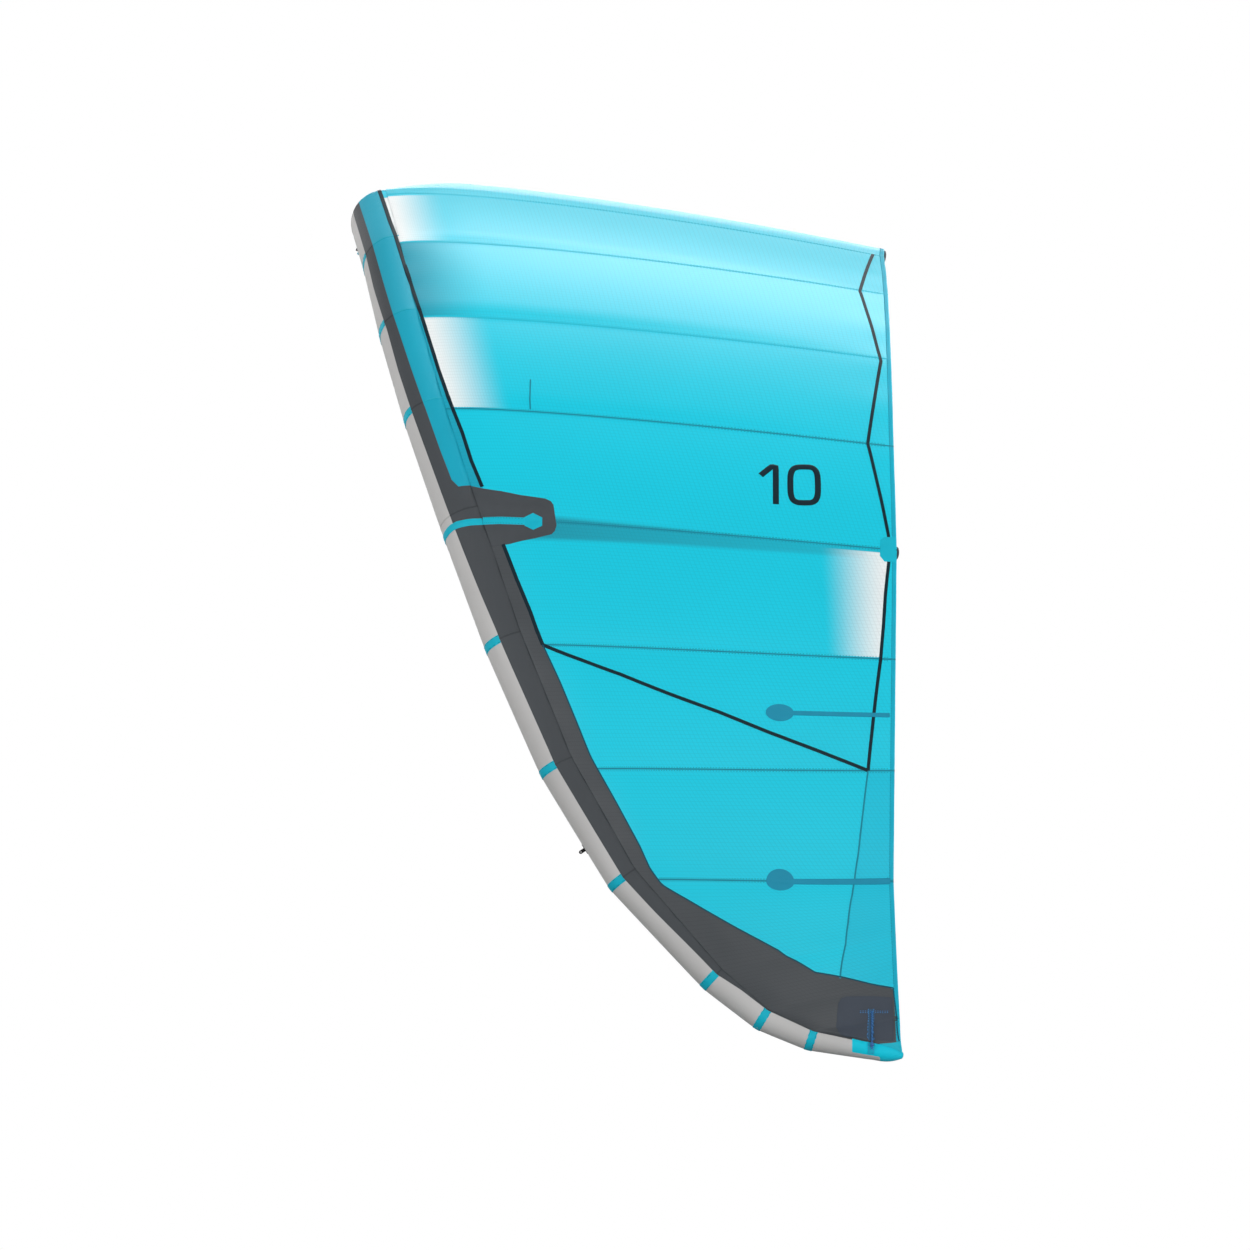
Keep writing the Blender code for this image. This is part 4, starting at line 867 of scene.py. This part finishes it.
closing_places = tip + np.concatenate((np.linspace(0, 1, 11)[1:], 1 + np.sin(np.linspace(0, 1.55, 6))[1:]))
segments = [("leading_edge_middle", 0, 1, 1)]
for name, side, surface in halves:
    segments += [("leading_edge_%s_%d" % (name, k), k, k + 1 if k < 9 else tip, side) for k in range(1, 10)]
for node, start, end, side in segments:
    fine_part = 3 if start == 0 else 1
    around = np.linspace(-math.pi, math.pi, fine_part * edge_sides, endpoint=False)
    hair = seam_gap / 2 / joint_step
    if end < tip:
        share = np.linspace(0, 1, fine_part * edge_rows)
        share = share - 0.8 * np.sin(2 * math.pi * share) / (2 * math.pi)
        places_along = start + hair + (end - start - 2 * hair) * share
    else:
        places_along = np.concatenate((np.linspace(start + hair, tip, 3 * edge_rows + 1), closing_places))
    e, turn = np.meshgrid(places_along, around, indexing="ij")
    outer, inner = tube(e, turn, 0, side), tube(e, turn, -wall, side)
    fields = edge_fields(e, turn, outer)
    if end < tip:
        rings = np.concatenate((outer, inner[::-1]))
        fields = {key: np.concatenate((value, value[::-1])) for key, value in fields.items()}
    else:
        rings = np.concatenate((inner[::-1], outer))
        fields = {key: np.concatenate((value[::-1], value)) for key, value in fields.items()}
    points, faces = skin(rings, closed=end < tip)
    if start == 0:
        size = len(around)
        points, faces = pierce(points, faces, lambda v: len(points) - size * (1 + v // size) + v % size,
                               valve_bore)
    piece = put("casing_" + node, points, faces, sailcloth, node=[node], **fields)
print("segments:", len(segments), "with", edge_sides, "points round")

# %% [markdown]
# Turquoise tape covers each joint over the light grey cloth, and a thin grey one goes on over
# the dark cloth. Near the fifth joint the tape goes on over the dark cloth to the canopy. One
# long seam closes the casing on its inner side.

# %% Tapes over the joints
band_width = 0.029
band_row = 0.011
thread_rise = 0.0004
arm_joint = 5
closing_turn = -0.56 * math.pi
arm_course = ((5.09, -1.0), (5.09, 0.1), (5.088, 0.186), (5.086, 0.247), (5.09, 0.319), (5.1, 0.392),
              (5.11, 0.469), (5.122, 0.556), (5.13, 0.66))
thin_width = 0.006
fine = 0.004
for name, side, surface in halves:
    for k in range(1, tip):
        dark_edge, blue_edge = float(turn_line(dark_turns, k)), float(turn_line(blue_turns, k))
        blue_edge = min(blue_edge, math.pi)
        runs = [("joint_seam", dark_edge, blue_edge, thin_width, grey_tape, 0.0008)]
        if k not in (1, arm_joint):
            runs.append(("joint_band", -math.pi, dark_edge, band_width, band_tape, 0.0013))
        else:
            runs.append(("joint_light_seam", -math.pi, dark_edge, thin_width, light_tape, 0.0008))
        if blue_edge < math.pi:
            runs.append(("joint_blue_seam", blue_edge, math.pi, thin_width, joint_blue, 0.0008))
        for title, first, last, width, material, top in runs:
            made = strip("%s_%s_%d" % (title, name, k), surface, ((k, first), (k, last)), width, material,
                         top=top, bottom=-0.0006, spacing=fine)
            if title == "joint_band":
                made = stitches("band_stitches_%s_%d" % (name, k), surface, ((k, first), (k, last)),
                                (-band_row, band_row), turquoise_thread, top + thread_rise)
    course = [(e, turn * math.pi) for e, turn in arm_course]
    made = strip("arm_strip_tube_" + name, surface, course, 0.024, band_tape, top=0.0019, bottom=-0.0006,
                 spacing=fine)
    closing = ((0.5, closing_turn), (tip - 0.1, closing_turn))
    made = strip("closing_seam_" + name, surface, closing, 0.012, light_tape, top=0.0009, bottom=-0.0006,
                 spacing=fine)
    made = stitches("closing_stitches_" + name, surface, closing, (-0.0035, 0.0035), grey_tape, 0.0013)
print("bands from joint 2 to", tip - 1, "on both sides")

# %% [markdown]
# ## The canopy
# One closed sheet, a millimetre thick, covers the whole arch from wingtip to wingtip. It has
# a row of points on every seam, so that the panels meet in a clear line. Each point carries
# its seam count, its chord share and its distances to the lines between colours.

# %% Canopy sheet
seam_line = ((1, -0.02), (2.6, -0.004), (2.92, 0.013), (3.59, 0.022), (3.96, 0.033), (4.22, 0.043),
             (4.48, 0.043), (4.61, 0.05), (4.8, 0.06))
dark_line = ((4.7, -0.02), (4.72, 0.05), (5.2, 0.065), (5.49, 0.075), (5.74, 0.088), (6.0, 0.092), (6.3, 0.105),
             (6.61, 0.11), (7.0, 0.115), (7.33, 0.12), (7.7, 0.122), (8.06, 0.103), (8.24, 0.185),
             (8.43, 0.26), (8.62, 0.333), (8.76, 0.388), (8.91, 0.443), (9.13, 0.492), (9.45, 0.55),
             (9.65, 0.67), (9.9, 0.802), (10.17, 0.963), (11.04, 0.968), (12, 0.93))
zigzag = ((1.0, 0.980), (2.02, 0.948), (3.04, 0.980), (4.0, 0.948), (4.87, 0.983), (5.1, 0.983),
          (5.42, 0.975), (5.72, 0.970), (6.01, 0.963), (6.35, 0.950), (6.67, 0.938), (7.0, 0.925))
aft_line = ((7.0, 0.925), (7.38, 0.905), (7.75, 0.883), (8.22, 0.843), (8.68, 0.795), (9.11, 0.738),
            (9.68, 0.662))
aft_field = aft_line + ((tip, aft_line[-1][1]),)
sheet_half = 0.0005
columns = 92
rows = np.concatenate((
    np.linspace(0, 1, 9),
    np.linspace(1, last_seam, 7 * 15 + 1)[1:],
    np.linspace(last_seam, tip, 4 * 10 + 1)[1:],
))
rows = np.concatenate((-rows[:0:-1], rows))
shares = np.linspace(0, 1, columns)
shares = shares - 0.06 * np.sin(2 * math.pi * shares)
w, t = np.meshgrid(rows, shares, indexing="ij")


def line_share(table, w, outside=-1.0):
    """The chord share of a line at a seam count, or a value that is off the cloth."""
    spots, values = np.array(table).T
    return np.interp(np.abs(w), spots, values, left=outside, right=outside)


top, bottom = cloth(w, t, sheet_half), cloth(w, t, -sheet_half)
span = np.cumsum(np.append(0, np.linalg.norm(np.diff(cloth(rows, 0.5), axis=0), axis=1)))
chords = np.linalg.norm(cloth(rows, 1.0) - cloth(rows, 0.0), axis=1)[:, None]
fields = {
    "seam_count": np.abs(w),
    "chord_share": t,
    "dark_line": (line_share(dark_line, w) - t) * chords,
    "aft_line": np.where(np.abs(w) >= 6.9, t - line_share(aft_field, w, 2.0), -1) * chords,
    "front_line": (t - line_share(seam_line, w)) * chords,
    "rear_line": (line_share(zigzag, w) - t) * chords,
}
uv = np.stack((span[:, None] + 0 * t, t * chords), axis=-1)
both = {name: np.hstack((field, field[:, ::-1])) for name, field in fields.items()}
canopy = put("canopy_sheet", *skin(np.hstack((top, bottom[:, ::-1]))), ripstop,
             node=["canopy_middle"] + ["canopy_%s_%d" % (name, k) for name, side, surface in halves
                                       for k in range(1, 9)],
             uv=np.hstack((uv, uv[:, ::-1])), sharp=60, **both)
print("canopy:", len(canopy.data.vertices), "points, span", round(float(span[-1]), 2), "m")

# %% [markdown]
# ## Seams, printed lines and hems
# Each line of the photograph is a strip on the cloth, at the seam counts and chord shares
# where it runs. Both halves of the kite carry the same lines.

# %% Seams and lines
tube_seam = ((0.5, 0.45), (1.0, 0.455), (1.23, 0.464), (1.71, 0.481), (2.21, 0.514), (2.54, 0.54),
             (2.7, 0.56))
cloth_seam = ((2.3, -0.006), (2.45, -0.0005), (2.65, 0.004), (2.92, 0.013), (3.59, 0.022), (3.96, 0.033), (4.22, 0.043), (4.48, 0.043),
              (4.61, 0.05), (4.72, 0.055))
lower_seam = ((5.2, 0.065), (5.49, 0.075), (5.74, 0.088), (6.0, 0.092))
dark_seam = ((6.0, 0.092), (6.3, 0.105), (6.61, 0.11), (7.0, 0.115), (7.33, 0.12), (7.7, 0.122),
             (8.06, 0.103), (8.24, 0.185), (8.43, 0.26), (8.62, 0.333), (8.76, 0.388), (8.91, 0.443),
             (9.13, 0.492), (9.45, 0.55), (9.65, 0.67), (9.9, 0.802), (10.17, 0.963), (11.04, 0.968),
             (12, 0.93))
diagonal = ((6.0, 0.092), (6.12, 0.220), (6.23, 0.328), (6.38, 0.448), (6.52, 0.565), (6.68, 0.680),
            (6.83, 0.797), (7.0, 0.925))
short_seam = ((3.68, 0.3), (3.98, 0.283))
line_width = 0.013
hem_width = 0.014
seam_row = 0.0055

for name, side, surface in halves:
    for k in range(1, last_seam + 1):
        strong = k > 3
        front = max(0.0, float(line_share(dark_line, k)))
        made = strip("panel_seam_%s_%d" % (name, k), cloth, flipped(((k, front), (k, 1.0)), side),
                     0.006 if strong else 0.005, seam_tape if strong else faint_tape)
        made = stitches("panel_stitches_%s_%d" % (name, k), cloth, flipped(((k, front + 0.01), (k, 0.985)), side),
                        (-seam_row, seam_row), turquoise_thread if strong else faint_thread, sheet_half + thread_rise)
    printed = (
        ("front_seam", cloth_seam, line_width, black_print),
        ("lower_front_seam", lower_seam, line_width, black_print),
        ("wing_seam", dark_seam, 0.005, wing_tape),
        ("zigzag", zigzag, 0.012, black_print),
        ("diagonal", diagonal, 0.013, black_print),
        ("aft_seam", aft_line, 0.006, seam_tape),
        ("short_seam", short_seam, 0.005, seam_tape),
    )
    for title, corners, width, material in printed:
        made = strip(title + "_" + name, cloth, flipped(corners, side), width, material,
                     top=0.0014, bottom=-0.0014)
    scaled = [(e, turn * math.pi) for e, turn in tube_seam]
    made = strip("tube_front_seam_" + name, surface, scaled, line_width, black_print, top=0.0015,
                 bottom=-0.0006, spacing=fine)
hem_spots = np.linspace(-tip, tip, 97)
hem_chords = np.linalg.norm(cloth(hem_spots, 1.0) - cloth(hem_spots, 0.0), axis=1)
hem = strip("trailing_edge_hem", cloth, np.stack((hem_spots, 1 - (hem_width / 2 + 0.001) / hem_chords), axis=1),
            hem_width, hem_tape)
hem_stitches = stitches("hem_stitches", cloth, np.stack((hem_spots, 1 - (hem_width + 0.001) / hem_chords), axis=1)[1:-1],
                        (0.003,), turquoise_thread, sheet_half + 0.001)
print("lines a side:", len(printed) + last_seam + 1)

# %% [markdown]
# ## Struts
# A strut hangs under the canopy on a row of circles that taper from front to rear. Its front
# end would run into the leading edge, so points inside the tube are pushed out onto it, like
# the flange that is sewn there.

# %% Struts
strut_front = 0.056
strut_rear = 0.026
strut_overhang = 0.002
strut_dome = 0.009
strut_seat = 0.0008
side_scale = 0.84
strut_steps = 64
strut_sides = 48
dense_hubs = at(hub_at, np.linspace(0, tip, 481))
dense_radii = at(radius_at, np.linspace(0, tip, 481))


def strut_course(count, scale):
    """Centres, upward arms, side arms and radii along a strut under a seam."""
    t = np.linspace(0, 1, strut_steps)
    w = np.full(strut_steps, float(count))
    line = bare_cloth(w, t)
    rise = rib(w)[2]
    tangent = unit(np.gradient(line, axis=0))
    up = unit(rise - (rise * tangent).sum(1, keepdims=True) * tangent)
    radius = (scale * (strut_front * (1 - t) + strut_rear * t))[:, None]
    centre = line - up * (radius + solid_cloth / 2 + strut_seat)
    dome = np.sin(np.linspace(0, math.pi / 2, 10))[1:-1, None]
    end = centre[-1] + tangent[-1] * strut_overhang
    centre = np.vstack((centre, end, end + tangent[-1] * strut_dome * dome))
    radius = np.vstack((radius, radius[-1], radius[-1] * np.sqrt(1 - dome ** 2)))
    extra = len(centre) - strut_steps
    up = np.vstack((up, np.repeat(up[-1:], extra, axis=0)))
    side = np.vstack((np.cross(tangent, up[:strut_steps]), np.repeat(np.cross(tangent[-1:], up[-1:]), extra, 0)))
    return centre, up, side, radius


def out_of_tube(points, gap=0.0006):
    """Points inside the leading edge, moved straight out from its axis onto its surface."""
    flat = points.reshape(-1, 3)
    right = flat[:, :1] < 0
    flat = np.where(right, flat * mirror, flat)
    near = np.linalg.norm(flat[:, None] - dense_hubs[None], axis=-1).argmin(1)
    arm = flat - dense_hubs[near]
    length = np.linalg.norm(arm, axis=1, keepdims=True)
    wanted = dense_radii[near][:, None] + gap
    flat = dense_hubs[near] + arm * np.maximum(wanted / length, 1)
    return np.where(right, flat * mirror, flat).reshape(points.shape)


strut_turns = np.linspace(0, 2 * math.pi, strut_sides, endpoint=False)[:, None]
courses = {}
for name, count, scale in (("middle", 0, 1.0), ("left", 5, side_scale), ("right", -5, side_scale)):
    centre, up, side_arm, radius = strut_course(abs(count), scale)
    flip = mirror if count < 0 else np.ones(3)
    courses[name] = (centre, up, side_arm, radius, flip)
    layers = []
    for inset in (0, wall):
        reach = np.maximum(radius - inset, 0.0004)[:, None]
        ring = centre[:, None] + reach * (np.cos(strut_turns) * up[:, None] + np.sin(strut_turns) * side_arm[:, None])
        layers.append(out_of_tube(ring, 0.0006 + wall - inset) * flip)
    rings = np.concatenate((layers[1][::-1], layers[0]))
    made = put("strut_casing_" + name, *skin(rings), strut_cloth, node=["strut_" + name])
print("struts:", len(courses))


# %% Seams of the struts
def strut_surface(name):
    """The surface of a strut: a share of its length, and a turn round it that is 0 at the top."""
    centre, up, side_arm, radius, flip = courses[name]

    def surface(share, turn, lift=0.0):
        share, turn, lift = np.broadcast_arrays(np.asarray(share, float), turn, lift)
        place = np.clip(share, 0, 1) * (strut_steps - 1)
        arm = np.cos(turn)[..., None] * at(up, place) + np.sin(turn)[..., None] * at(side_arm, place)
        return out_of_tube(at(centre, place) + arm * (at(radius[:, 0], place) + lift)[..., None]) * flip
    return surface


strut_rows = ((0.07, 0.035, grey_tape), (0.5, 0.012, grey_tape), (0.93, 0.03, band_tape))
strut_seam_turn = 0.62 * math.pi
strut_open = 0.12 * math.pi
for name in courses:
    surface = strut_surface(name)
    made = []
    for k, turn in enumerate((strut_seam_turn, -strut_seam_turn)):
        line = ((0.06, turn), (0.995, turn))
        made.append(strip("strut_seam_%s_%d" % (name, k), surface, line, 0.008, grey_tape, top=0.0009,
                          bottom=-0.0005))
        made.append(stitches("strut_stitches_%s_%d" % (name, k), surface, line, (0.0,), dark_thread, 0.0013))
    for k, (share, width, material) in enumerate(strut_rows):
        ring = ((share, strut_open), (share, 2 * math.pi - strut_open))
        made.append(strip("strut_ring_%s_%d" % (name, k), surface, ring, width, material, top=0.0012,
                          bottom=-0.0005, spacing=fine))
        made.append(stitches("strut_ring_stitches_%s_%d" % (name, k), surface, ring,
                             (-width / 2 + 0.003, width / 2 - 0.003), dark_thread, 0.0016))
print("pieces on each strut:", len(made))

# %% [markdown]
# ## Bladders and hoses
# Film bladders fill the tube and the struts, just inside the cloth. A silicone hose passes
# air from the leading edge to each strut, out of the tube's rear and up into the strut.

# %% Bladders
e = np.concatenate((np.linspace(0.5, 1.2, 50), np.linspace(1.2, tip, 110)[1:], closing_places))
turns = np.linspace(-math.pi, math.pi, 128, endpoint=False)
film_layers = []
for lift in (-bladder_inset, -bladder_inset - film_wall):
    half = tube(e[:, None], turns[None], lift)
    film_layers.append(skin(np.concatenate((half[:0:-1] * mirror, half))))
count = len(film_layers[0][0])
points = np.vstack([points for points, faces in film_layers])
faces = np.vstack((film_layers[0][1], film_layers[1][1] + count))
made = put("long_bladder", *pierce(points, faces, lambda v: v + count, valve_bore - film_wall), film,
           node=["bladder_leading_edge"])
for name, (centre, up, side_arm, radius, flip) in courses.items():
    keep = slice(19, strut_steps + 1)
    route, sizes = centre[keep], np.maximum(radius[keep, 0] - bladder_inset, 0.002)
    shrink = np.sqrt(np.clip(np.arange(len(route)) / 3, 0, 1))
    sizes = np.maximum(sizes * shrink, 0.003)
    made = put("strut_film_" + name, *skin(sweep(route, sizes, 24) * flip), film,
               node=["bladder_strut_" + name])
print("bladders:", 1 + len(courses))

# %% Hoses
hose_radius = 0.0065
hose_stand = 0.036
hose_bend = 0.02
hose_turn = 1.14 * math.pi
hose_places = {"middle": 0.5, "left": 5.21, "right": 5.21}
hose_rear_share = 0.4


def rounded(corners, bend, count=10):
    """Straight runs whose corners are rounded by quadratic curves that start a bend away."""
    points = [corners[0]]
    for before, corner, after in zip(corners, corners[1:], corners[2:]):
        enter = corner + unit(before - corner) * bend
        leave = corner + unit(after - corner) * bend
        s = np.linspace(0, 1, count)[:, None]
        points += list((1 - s) ** 2 * enter + 2 * s * (1 - s) * corner + s * s * leave)
    return np.array(points + [corners[-1]])


for name, place in hose_places.items():
    centre, up, side_arm, radius, flip = courses[name]
    start = tube(place, hose_turn, -wall)
    away = unit(start - at(hub_at, np.array(place)))
    step = int(round(hose_rear_share * (strut_steps - 1)))
    port = centre[step] - up[step] * (radius[step] - wall)
    corners = [start, start + away * hose_stand, port - up[step] * hose_stand, port]
    route = resample(rounded(corners, hose_bend), 60) * flip
    made = put("air_hose_" + name, *skin(sweep(route, [hose_radius] * len(route), 24)), silicone,
               node=["hose_" + name])
    print("hose", name, round(float(np.linalg.norm(np.diff(route, axis=0), axis=1).sum()), 3), "m")

# %% [markdown]
# ## Reinforcements and battens
# A dark arm runs from the tube onto the canopy over each side strut, with a turquoise strip
# down its middle that ends in a six-sided patch. Two mini battens lie near the trailing edge.

# %% Patches
arm = ((4.71, 0.0), (4.73, 0.043), (4.76, 0.128), (4.79, 0.188), (4.81, 0.258), (4.83, 0.272), (4.86, 0.277),
       (5.03, 0.27), (5.08, 0.26), (5.11, 0.247), (5.15, 0.193), (5.2, 0.095), (5.21, 0.065), (5.22, 0.0))
rear_patch = ((4.89, 0.973), (4.92, 0.965), (5.07, 0.963), (5.12, 0.973), (5.12, 0.998), (4.88, 0.998))
tip_patch = ((10.11, 0.645), (10.17, 0.718), (10.24, 0.795), (10.325, 0.875), (10.41, 0.948), (10.64, 0.945),
             (10.905, 0.94), (11.285, 0.92), (11.715, 0.858), (11.955, 0.76), (11.88, 0.55), (11.79, 0.378),
             (11.67, 0.275), (11.57, 0.158), (11.47, 0.07), (11.32, 0.155), (11.07, 0.335), (10.755, 0.45),
             (10.455, 0.525), (10.24, 0.573), (10.125, 0.613))
strap_on_cloth = ((10.6, 0.767), (10.68, 0.758), (10.88, 0.733), (11.115, 0.688), (11.435, 0.575), (11.72, 0.36),
                  (11.8, 0.25))
strap_on_tube = ((11.87, 0.8), (11.88, 0.744), (11.89, 0.603), (11.905, 0.478), (11.915, 0.36))
strap_row = ((10.625, 0.675), (10.655, 0.72), (10.705, 0.797), (10.74, 0.845), (10.77, 0.895))
strap_width = 0.022
batten_places = ((6.51, 0.713, 0.985), (8.01, 0.613, 0.988))
batten_half_back = 0.047
batten_half_up = 0.03
hexagon_radius = 0.034
gusset_reach = 1.25
gusset_half = 0.0012


def spot(w, t, half_back, half_up, count=28):
    """Corners round an upright ellipse on the canopy, in canopy coordinates.

    The pseudo-inverse of the two slopes turns steps back and up, in metres, into coordinates.
    """
    slope_w = (cloth(w + nudge, t) - cloth(w - nudge, t)) / (2 * nudge)
    slope_t = (cloth(w, t + nudge) - cloth(w, t - nudge)) / (2 * nudge)
    turns = np.linspace(0, 2 * math.pi, count, endpoint=False)
    steps = np.stack((0 * turns, half_back * np.sin(turns), half_up * np.cos(turns)), axis=1)
    moved = steps @ np.linalg.pinv(np.stack((slope_w, slope_t), axis=-1)).T
    return [(w + a, t + b) for a, b in moved]


for name, side, surface in halves:
    pieces = [
        patch("strut_arm_" + name, cloth, flipped(arm, side), (4.97 * side, 0.14), arm_cloth,
              bottom=-0.003),
        patch("strut_end_patch_" + name, cloth, flipped(rear_patch, side), (5.0 * side, 0.981), band_tape,
              top=0.0016, bottom=-0.0016),
        patch("wingtip_patch_" + name, cloth, flipped(tip_patch, side), (11.0 * side, 0.6), wing_patch,
              top=0.0018, bottom=-0.0018),
        patch("arm_hexagon_" + name, cloth, flipped(spot(5.01, 0.203, hexagon_radius, hexagon_radius, 6), side),
              (5.01 * side, 0.203), band_tape, top=0.0024, bottom=0.0007),
        strip("arm_strip_" + name, cloth, flipped(((5.015, 0.0), (5.01, 0.085), (5.01, 0.18)), side), 0.026,
              band_tape, top=0.002, bottom=0.0007),
    ]
    tube_course = [(e, turn * math.pi) for e, turn in strap_on_tube]
    strap_course = flipped(strap_on_cloth, side)
    rows = (-0.4 * strap_width, -0.15 * strap_width, 0.15 * strap_width, 0.4 * strap_width)
    pieces += [
        strip("wingtip_strap_" + name, cloth, strap_course, strap_width, strap_cloth, top=0.0026,
              bottom=0.0007),
        strip("wingtip_strap_end_" + name, surface, tube_course, strap_width, band_tape, top=0.0014,
              bottom=-0.0005, spacing=fine),
        stitches("strap_stitches_" + name, cloth, strap_course, (rows[0], rows[-1]), blue_thread, 0.003),
        stitches("strap_row_" + name, cloth, flipped(strap_row, side), (-0.002, 0.003), blue_thread, 0.0032),
        stitches("strap_end_stitches_" + name, surface, tube_course, rows, blue_thread, 0.0018),
        stitches("arm_stitches_" + name, cloth, flipped(((5.01, 0.01), (5.01, 0.17)), side), (-0.009, 0.009),
                 turquoise_thread, 0.0024),
    ]
    columns = np.linspace(0.02, 1, 16)
    rows = np.linspace(0, 1, 9)[:, None]
    above = cloth(tip * side, columns, sheet_half)[:, None]
    below = surface(tip + gusset_reach * columns, turn_at[-1])[:, None]
    sheet = above * (1 - rows) + below * rows
    half = np.array((gusset_half, 0, 0))
    rings = np.concatenate((sheet + half, sheet[:, ::-1] - half), axis=1)
    pieces.append(put("cap_gusset_" + name, *skin(rings), faint_tape))
    for k, (w_place, t_place, rear) in enumerate(batten_places, 1):
        pieces.append(patch("batten_end_%s_%d" % (name, k), cloth,
                            flipped(spot(w_place, t_place, batten_half_back, batten_half_up), side),
                            (w_place * side, t_place), patch_cloth, top=0.002, bottom=-0.002))
        pieces.append(strip("batten_%s_%d" % (name, k), cloth,
                            flipped(((w_place, t_place), (w_place, rear)), side), 0.016, patch_cloth,
                            top=0.0026, bottom=-0.0026))
print("patches and battens a side:", len(pieces))

# %% [markdown]
# The size number is the only print that stays. Its strokes are strips on the cloth, mapped
# from a unit box onto four corners in canopy coordinates, so that it reads from outside on
# both halves.

# %% Size number
number_box = {1: ((4.71, 0.724), (4.66, 0.849), (4.32, 0.734), (4.26, 0.854)),
              -1: ((-4.66, 0.849), (-4.71, 0.724), (-4.26, 0.854), (-4.32, 0.734))}
stroke = 0.021
one = ((0.03, 0.72), (0.2, 0.93), (0.27, 0.93), (0.27, 0.03))
turns = np.linspace(0, 2 * math.pi, 41)
zero = [(0.72 + 0.22 * np.sign(math.cos(a)) * abs(math.cos(a)) ** 0.55,
         0.5 + 0.43 * np.sign(math.sin(a)) * abs(math.sin(a)) ** 0.55) for a in turns]


def in_box(corners, points):
    """Points of a unit box, laid between four corners: low left, low right, high left, high right."""
    corners = np.array(corners)
    placed = []
    for x, y in points:
        low = corners[0] + (corners[1] - corners[0]) * x
        high = corners[2] + (corners[3] - corners[2]) * x
        placed.append(tuple(low + (high - low) * y))
    return placed


for name, side, surface in halves:
    for title, glyph in (("one", one), ("zero", zero)):
        made = strip("size_%s_%s" % (title, name), cloth, in_box(number_box[side], glyph), stroke,
                     black_print, top=0.0014, bottom=-0.0007)
print("size number strokes:", len(one) - 1, "and", len(zero) - 1)

# %% [markdown]
# ## Moulded pieces
# The valve, the hose clips and the bridle tabs keep the shapes of their solids. They get
# their plastics and a small rounding along their edges.

# %% Materials of the solids that stay
kept = {"valve_base": black_nylon, "valve_plunger": grey_nylon, "valve_cap": blue_nylon,
        "bridle_tab_left": webbing, "bridle_tab_right": webbing}
for name in ("middle", "left", "right"):
    kept["hose_clip_%s_base" % name] = black_nylon
    kept["hose_clip_%s_lever" % name] = blue_nylon
for name, material in kept.items():
    solid = bpy.data.objects[name]
    for slot_number in range(len(solid.material_slots)):
        solid.material_slots[slot_number].material = material
    soft_edge = solid.modifiers.new("soft edge", "BEVEL")
    soft_edge.width = 0.0004
    soft_edge.segments = 2
    soft_edge.limit_method = "ANGLE"
    soft_edge.harden_normals = False
print("solids kept:", len(kept))
